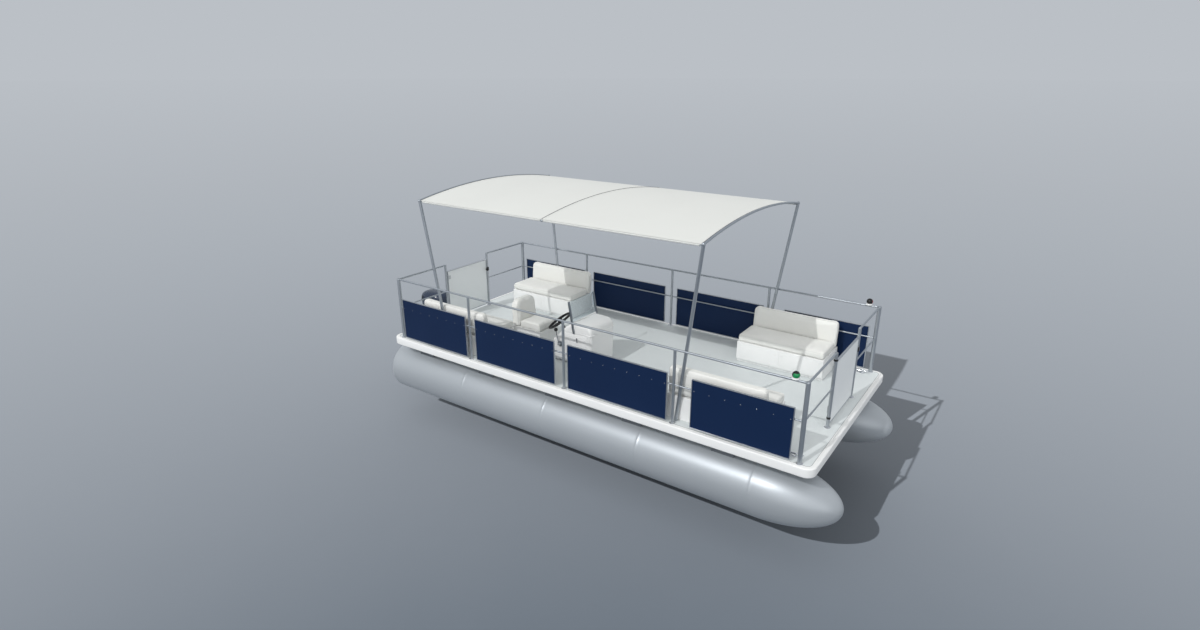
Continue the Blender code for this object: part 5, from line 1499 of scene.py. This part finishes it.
cleat_screws = []
for end_name, end in ENDS:
    for side, sign in SIDES:
        x, y = end * CLEAT_X, sign * CLEAT_Y
        top = CLEAT_HEIGHT - CLEAT_RADIUS
        horn_path, horn_radii = [], []
        for k in range(25):
            share = -1 + 2 * k / 24
            horn_path.append((x + CLEAT_HORN * share, y, top - 0.004 * math.cos(share * math.pi / 2)))
            horn_radii.append(CLEAT_RADIUS * (1 - 0.42 * abs(share) ** 2.5 if abs(share) < 0.99 else 0.34))
        parts = [swept(horn_path, horn_radii, 16)]
        for step in (-0.025, 0.025):
            foot_path = [(x + step * 1.25, y, 0.003), (x + step, y, 0.014), (x + step, y, top)]
            parts.append(swept(foot_path, [0.013, 0.0088, 0.0085], 16))
        base = [(0.045 * math.cos(angle), 0.0155 * math.sin(angle)) for angle in turns(32)]
        parts.append(slab(base, 0.0052, None, (x, y, 0.0030), 0.0018, 2))
        piece("mooring_cleat_%s_%s" % (end_name, side), parts, bright_steel,
              nodes=["cleat_%s_%s" % (end_name, side)])
        for along, height in ((0, 0.0056), (-0.040, 0.0054), (0.040, 0.0054)):
            cleat_screws.append(((x + along, y, height), (0, 0, 1)))
fasteners("cleat_screws", rivet_tree, cleat_screws, 0.0034, 0.0014, bright_steel)


# Motor pod and brackets. A welded aluminium pod carries the transom; the clamp bracket grips
# it, and the swivel bracket tilts on the clamp's tube and holds the king pin.
POD_RUN = 0.600
POD_DEPTH = 0.420
POD_HALF = 0.220
TRANSOM = Vector((-3.160, 0, BEAM_UNDERSIDE - 0.0003))
TILT_AXIS = TRANSOM + Vector((-0.040, 0, 0.022))
TILT_TUBE = 0.012
CLAMP_HALF = 0.100
CLAMP_PLATE = 0.014
CLAMP_DEPTH = 0.270
KING_X = TRANSOM.x - 0.105
SWIVEL_RADIUS = 0.036
SWIVEL_TOP = TRANSOM.z - 0.030
SWIVEL_BOTTOM = TRANSOM.z - 0.255
KING_RADIUS = 0.020


def collar(inner, outer, low, high, segments=40, soften=0.0015):
    """A short round sleeve about Z."""
    loop = [
        (outer - soften, high), (outer, high - soften), (outer, low + soften), (outer - soften, low),
        (inner + soften, low), (inner, low + soften), (inner, high - soften), (inner + soften, high),
    ]
    return spun(loop, segments, wrap=True)


pod_outline = rounded(
    [(0, -POD_DEPTH, 0.030), (POD_RUN, -POD_DEPTH * 0.25, 0.030), (POD_RUN, 0, 0), (0, 0, 0)], 8,
)
pod = slab(pod_outline, 2 * POD_HALF, ALONG, TRANSOM, 0.006, 3)
pod_seams = []
for _, sign in SIDES:
    seam_y = sign * (POD_HALF - 0.002)
    seam = [TRANSOM + Vector((x, seam_y, -0.002)) for x in (0.008, POD_RUN - 0.01)]
    pod_seams.append(swept(seam, 0.0025, 8))
piece("transom_pod", [pod] + pod_seams, mill_aluminium, nodes=["motor_pod"])

clamp_outline = rounded(
    [
        (-0.0003, -CLAMP_DEPTH, 0), (-0.0003, 0.0003, 0), (0.045, 0.0003, 0), (0.045, 0.030, 0.014),
        (-0.062, 0.042, 0.018), (-0.062, -0.020, 0.018), (-0.030, -CLAMP_DEPTH, 0.008),
    ], 6,
)
leg_paint = surface(
    "leg_paint", (0.030, 0.036, 0.050), (0.022, 0.027, 0.038), (0.26, 0.40),
    patches=6, grain=120, bump=0.00025,
    bump_grain=60, coat=0.3,
)
clamp_parts, clamp_bolts = [], []
for sign in (-1, 1):
    plate_at = TRANSOM + Vector((0, sign * CLAMP_HALF, 0))
    clamp_parts.append(slab(clamp_outline, CLAMP_PLATE, ALONG, plate_at, 0.0025, 2))
    for drop in (-0.060, -0.150, -0.230):
        clamp_bolts.append((TRANSOM + Vector((-0.0165, sign * (CLAMP_HALF + 0.007), drop)), (0, sign, 0)))
tube_end = CLAMP_HALF + CLAMP_PLATE
clamp_parts.append(
    spun([(0, tube_end), (0.010, tube_end), (TILT_TUBE, tube_end - 0.002), (TILT_TUBE, -tube_end + 0.002),
          (0.010, -tube_end), (0, -tube_end)], 32, TILT_AXIS, ALONG)
)
cross_low = TRANSOM + Vector((-0.016, -CLAMP_HALF, -CLAMP_DEPTH + 0.010))
cross_high = TRANSOM + Vector((-0.0004, CLAMP_HALF, -CLAMP_DEPTH + 0.060))
clamp_parts.append(block(cross_low, cross_high, 0.003, 2))
piece("transom_clamp", clamp_parts, leg_paint, nodes=["clamp_bracket"])
fasteners("clamp_bolts", bolt_tree, clamp_bolts, 0.009, 0.004, bright_steel)

swivel_parts = [
    moved(collar(KING_RADIUS + 0.0006, SWIVEL_RADIUS, SWIVEL_BOTTOM, SWIVEL_TOP), (KING_X, 0, 0)),
    moved(collar(TILT_TUBE + 0.0006, 0.019, -0.092, 0.092), TILT_AXIS, ALONG),
    block(
        (KING_X + 0.022, -0.034, SWIVEL_TOP - 0.075), (TILT_AXIS.x - 0.006, 0.034, SWIVEL_TOP - 0.003), 0.006, 3,
    ),
    block(
        (KING_X + SWIVEL_RADIUS + 0.0045, -0.040, SWIVEL_TOP - 0.072),
        (TILT_AXIS.x - 0.0126, 0.040, TILT_AXIS.z), 0.004, 3,
    ),
]
piece("swivel_casting", swivel_parts, leg_paint, "tilt", ["swivel_bracket"])


# Outboard motor. A gloss dark blue moulded cover over the engine, a rubber joint at its foot,
# and below it the cast leg with its plate, gearcase and skeg.
LEG_X = TRANSOM.x - 0.232
PLATE_Z = TRANSOM.z - 0.381
GEAR_Z = PLATE_Z - 0.145
SKEG_Z = PLATE_Z - 0.270
GEARCASE_RADIUS = 0.042
GEARCASE_HALF = 0.165
COWL_X = TRANSOM.x - 0.295
COWL_LENGTH = 0.500
COWL_HALF = 0.160
COWL_LOW = TRANSOM.z + 0.084
COWL_HIGH = TRANSOM.z + 0.300
PAN_LOW = TRANSOM.z + 0.054


def oval(centre_x, half_length, half_width, z, power=2.4, count=64):
    """One rounded, slightly squared level section."""
    ring = []
    for angle in turns(count):
        c, s = math.cos(angle), math.sin(angle)
        x = centre_x + half_length * math.copysign(abs(c) ** (2 / power), c)
        y = half_width * math.copysign(abs(s) ** (2 / power), s)
        ring.append((x, y, z))
    return ring


cowl_rings = []
for k in range(33):
    share = 0.998 * math.sin(math.pi / 2 * k / 32)
    over = max(0.0, (share - 0.30) / 0.70)
    draw = (1 - over ** 3.2) ** (1 / 3.2)
    foot_in = 0.94 + 0.06 * min(1.0, share / 0.30)
    cowl_rings.append(
        oval(
            COWL_X + 0.020 * over ** 2, COWL_LENGTH / 2 * draw, COWL_HALF * foot_in * draw,
            COWL_LOW + (COWL_HIGH - COWL_LOW) * share,
        )
    )
cowl_gloss = surface(
    "cowl_gloss", (0.018, 0.031, 0.062), (0.014, 0.025, 0.050), (0.22, 0.32),
    patches=4, grain=90, bump=0.0001,
    bump_grain=20, coat=0.2,
)
piece("engine_cover", [skin(cowl_rings, caps=True)], cowl_gloss, "motor", ["motor_cowl"], 50)
joint_rings = [
    oval(COWL_X, COWL_LENGTH / 2 * 1.002, COWL_HALF * 0.944, COWL_LOW - 0.0012),
    oval(COWL_X, COWL_LENGTH / 2 * 1.006, COWL_HALF * 0.952, COWL_LOW + 0.0020),
    oval(COWL_X, COWL_LENGTH / 2 * 1.006, COWL_HALF * 0.954, COWL_LOW + 0.0060),
    oval(COWL_X, COWL_LENGTH / 2 * 1.001, COWL_HALF * 0.950, COWL_LOW + 0.0090),
]
cover_trim = [skin(joint_rings, caps=True)]
for sign in (-1, 1):
    for k in range(5):
        z = COWL_LOW + 0.070 + 0.016 * k
        reach = COWL_HALF * (0.952 + 0.010 * min(k, 3))
        bends = ((0.190 - 0.006 * k, 0.80), (0.150, 0.908), (0.100, 0.978))
        slat = [(COWL_X - aft, sign * reach * share, z) for aft, share in bends]
        cover_trim.append(swept(slat, 0.0034, 8))
piece("cover_trim", cover_trim, black_moulding, "motor")
cast_engine = surface(
    "cast_engine", (0.20, 0.20, 0.21), (0.14, 0.14, 0.15), (0.5, 0.7), 0.7, patches=9, grain=160, bump=0.0004,
)
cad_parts["motor_powerhead"].material_slots[0].material = cast_engine

pan_top = COWL_LOW - 0.0003
leg_parts = [
    skin(
        [
            oval(COWL_X, COWL_LENGTH / 2 * 0.66, COWL_HALF * 0.62, PAN_LOW - 0.0),
            oval(COWL_X, COWL_LENGTH / 2 * 0.76, COWL_HALF * 0.71, PAN_LOW + 0.003),
            oval(COWL_X, COWL_LENGTH / 2 * 0.93, COWL_HALF * 0.86, PAN_LOW + 0.018),
            oval(COWL_X, COWL_LENGTH / 2 * 0.985, COWL_HALF * 0.925, PAN_LOW + 0.025),
            oval(COWL_X, COWL_LENGTH / 2, COWL_HALF * 0.94, pan_top),
        ], caps=True,
    )
]
# Leg sections: height, half length, half width, squareness
LEG_SECTIONS = (
    (GEAR_Z, 0.055, 0.014, 2.0), (PLATE_Z, 0.070, 0.020, 2.0), (PLATE_Z + 0.090, 0.072, 0.040, 2.2),
    (PAN_LOW + 0.010, 0.080, 0.055, 2.4),
)
leg_rings = []
for (z0, l0, w0, p0), (z1, l1, w1, p1) in zip(LEG_SECTIONS, LEG_SECTIONS[1:]):
    for k in range(8):
        t = k / 8
        ease = t * t * (3 - 2 * t)
        leg_rings.append(
            oval(LEG_X, l0 + (l1 - l0) * t, w0 + (w1 - w0) * ease, z0 + (z1 - z0) * t, p0 + (p1 - p0) * t, 48)
        )
leg_rings.append(oval(LEG_X, 0.080, 0.055, PAN_LOW + 0.010, 2.4, 48))
leg_parts.append(skin(leg_rings, caps=True))
gear_profile = [(0.0, GEARCASE_HALF)]
for k in range(1, 15):
    angle = math.pi / 2 * k / 14
    gear_profile.append((GEARCASE_RADIUS * math.sin(angle) ** 0.9, GEARCASE_HALF * (0.15 + 0.85 * math.cos(angle))))
gear_profile += [(GEARCASE_RADIUS * 0.99, -GEARCASE_HALF * 0.6), (GEARCASE_RADIUS * 0.93, -GEARCASE_HALF * 0.9),
                 (GEARCASE_RADIUS * 0.90, -GEARCASE_HALF), (0.0, -GEARCASE_HALF)]
leg_parts.append(spun(gear_profile, 48, (LEG_X, 0, GEAR_Z), lie_along))
plate_outline = rounded(
    [
        (LEG_X + 0.075, -0.020, 0.012), (LEG_X + 0.075, 0.020, 0.012), (LEG_X - 0.060, 0.085, 0.030),
        (LEG_X - 0.230, 0.070, 0.030), (LEG_X - 0.230, -0.070, 0.030), (LEG_X - 0.060, -0.085, 0.030),
    ], 8,
)
leg_parts.append(slab(plate_outline, 0.006, None, (0, 0, PLATE_Z), 0.002, 2))
skeg_outline = rounded(
    [
        (LEG_X + 0.070, GEAR_Z, 0), (LEG_X - 0.010, SKEG_Z, 0.012), (LEG_X - 0.070, SKEG_Z, 0.018),
        (LEG_X - 0.075, GEAR_Z, 0),
    ], 5,
)
leg_parts.append(slab(skeg_outline, 0.008, ALONG, (0, 0, 0), 0.0028, 2))
leg_parts.append(
    spun([(0, SWIVEL_TOP + 0.018), (KING_RADIUS, SWIVEL_TOP + 0.018), (KING_RADIUS, SWIVEL_BOTTOM - 0.018),
          (0, SWIVEL_BOTTOM - 0.018)], 36, (KING_X, 0, 0))
)
for low in (SWIVEL_TOP + 0.006, SWIVEL_BOTTOM - 0.030):
    leg_parts.append(block((LEG_X, -0.024, low), (KING_X + 0.024, 0.024, low + 0.024), 0.004, 3))
piece("cast_leg", leg_parts, leg_paint, "motor", ["motor_leg"])
leg_bolts = []
for sign in (-1, 1):
    for k in range(3):
        spot = (LEG_X - 0.045 + 0.045 * k, sign * (0.048 - 0.004 * abs(k - 1)), PAN_LOW - 0.050)
        leg_bolts.append((spot, (0, sign, 0)))
fasteners("leg_bolts", bolt_tree, leg_bolts, 0.006, 0.004, bright_steel, "motor")


# Propeller. A polished three-blade screw of nearly constant pitch, its blades skewed back and
# thinned to the tip, on a tapered hub.
PROP_RADIUS = 0.120
PROP_HUB = 0.036
PROP_LENGTH = 0.085
PROP_PITCH = 0.280
# Blade sections: radius share, chord, skew back
BLADE_SECTIONS = (
    (0.20, 0.062, 0.000), (0.45, 0.092, 0.004), (0.70, 0.100, 0.012), (0.90, 0.078, 0.024), (1.00, 0.030, 0.034),
)

prop_at = (LEG_X - GEARCASE_HALF - PROP_LENGTH / 2 - 0.0005, 0, GEAR_Z)
blade_rings = []
for (r0, c0, s0), (r1, c1, s1) in zip(BLADE_SECTIONS, BLADE_SECTIONS[1:]):
    steps = 5
    for k in range(steps + (r1 == 1.00)):
        t = k / steps
        share, chord, skew = r0 + (r1 - r0) * t, c0 + (c1 - c0) * t, s0 + (s1 - s0) * t
        radius = share * PROP_RADIUS
        pitch = math.atan2(PROP_PITCH, 2 * math.pi * radius)
        thick = 0.005 * (1.25 - 0.7 * share)
        ring = []
        for m in range(24):
            angle = 2 * math.pi * m / 24
            along = chord / 2 * math.cos(angle) - skew
            across = thick / 2 * math.sin(angle)
            wrap = (along * math.cos(pitch) - across * math.sin(pitch)) / radius
            axial = along * math.sin(pitch) + across * math.cos(pitch)
            ring.append((axial, radius * math.sin(wrap), radius * math.cos(wrap)))
        blade_rings.append(ring)
prop_parts = []
for k in range(3):
    prop_parts.append(moved(skin(blade_rings, caps=True), prop_at, Matrix.Rotation(2 * math.pi * k / 3, 4, "X")))
half = PROP_LENGTH / 2
hub_shape = [
    (0.0, half), (PROP_HUB * 0.96, half), (PROP_HUB, half - 0.003), (PROP_HUB, 0), (PROP_HUB * 0.80, -half + 0.002),
    (PROP_HUB * 0.74, -half), (0.0, -half),
]
prop_parts.append(spun(hub_shape, 48, prop_at, lie_along))
piece("screw_propeller", prop_parts, bright_steel, "propeller_body", ["propeller"], 50)
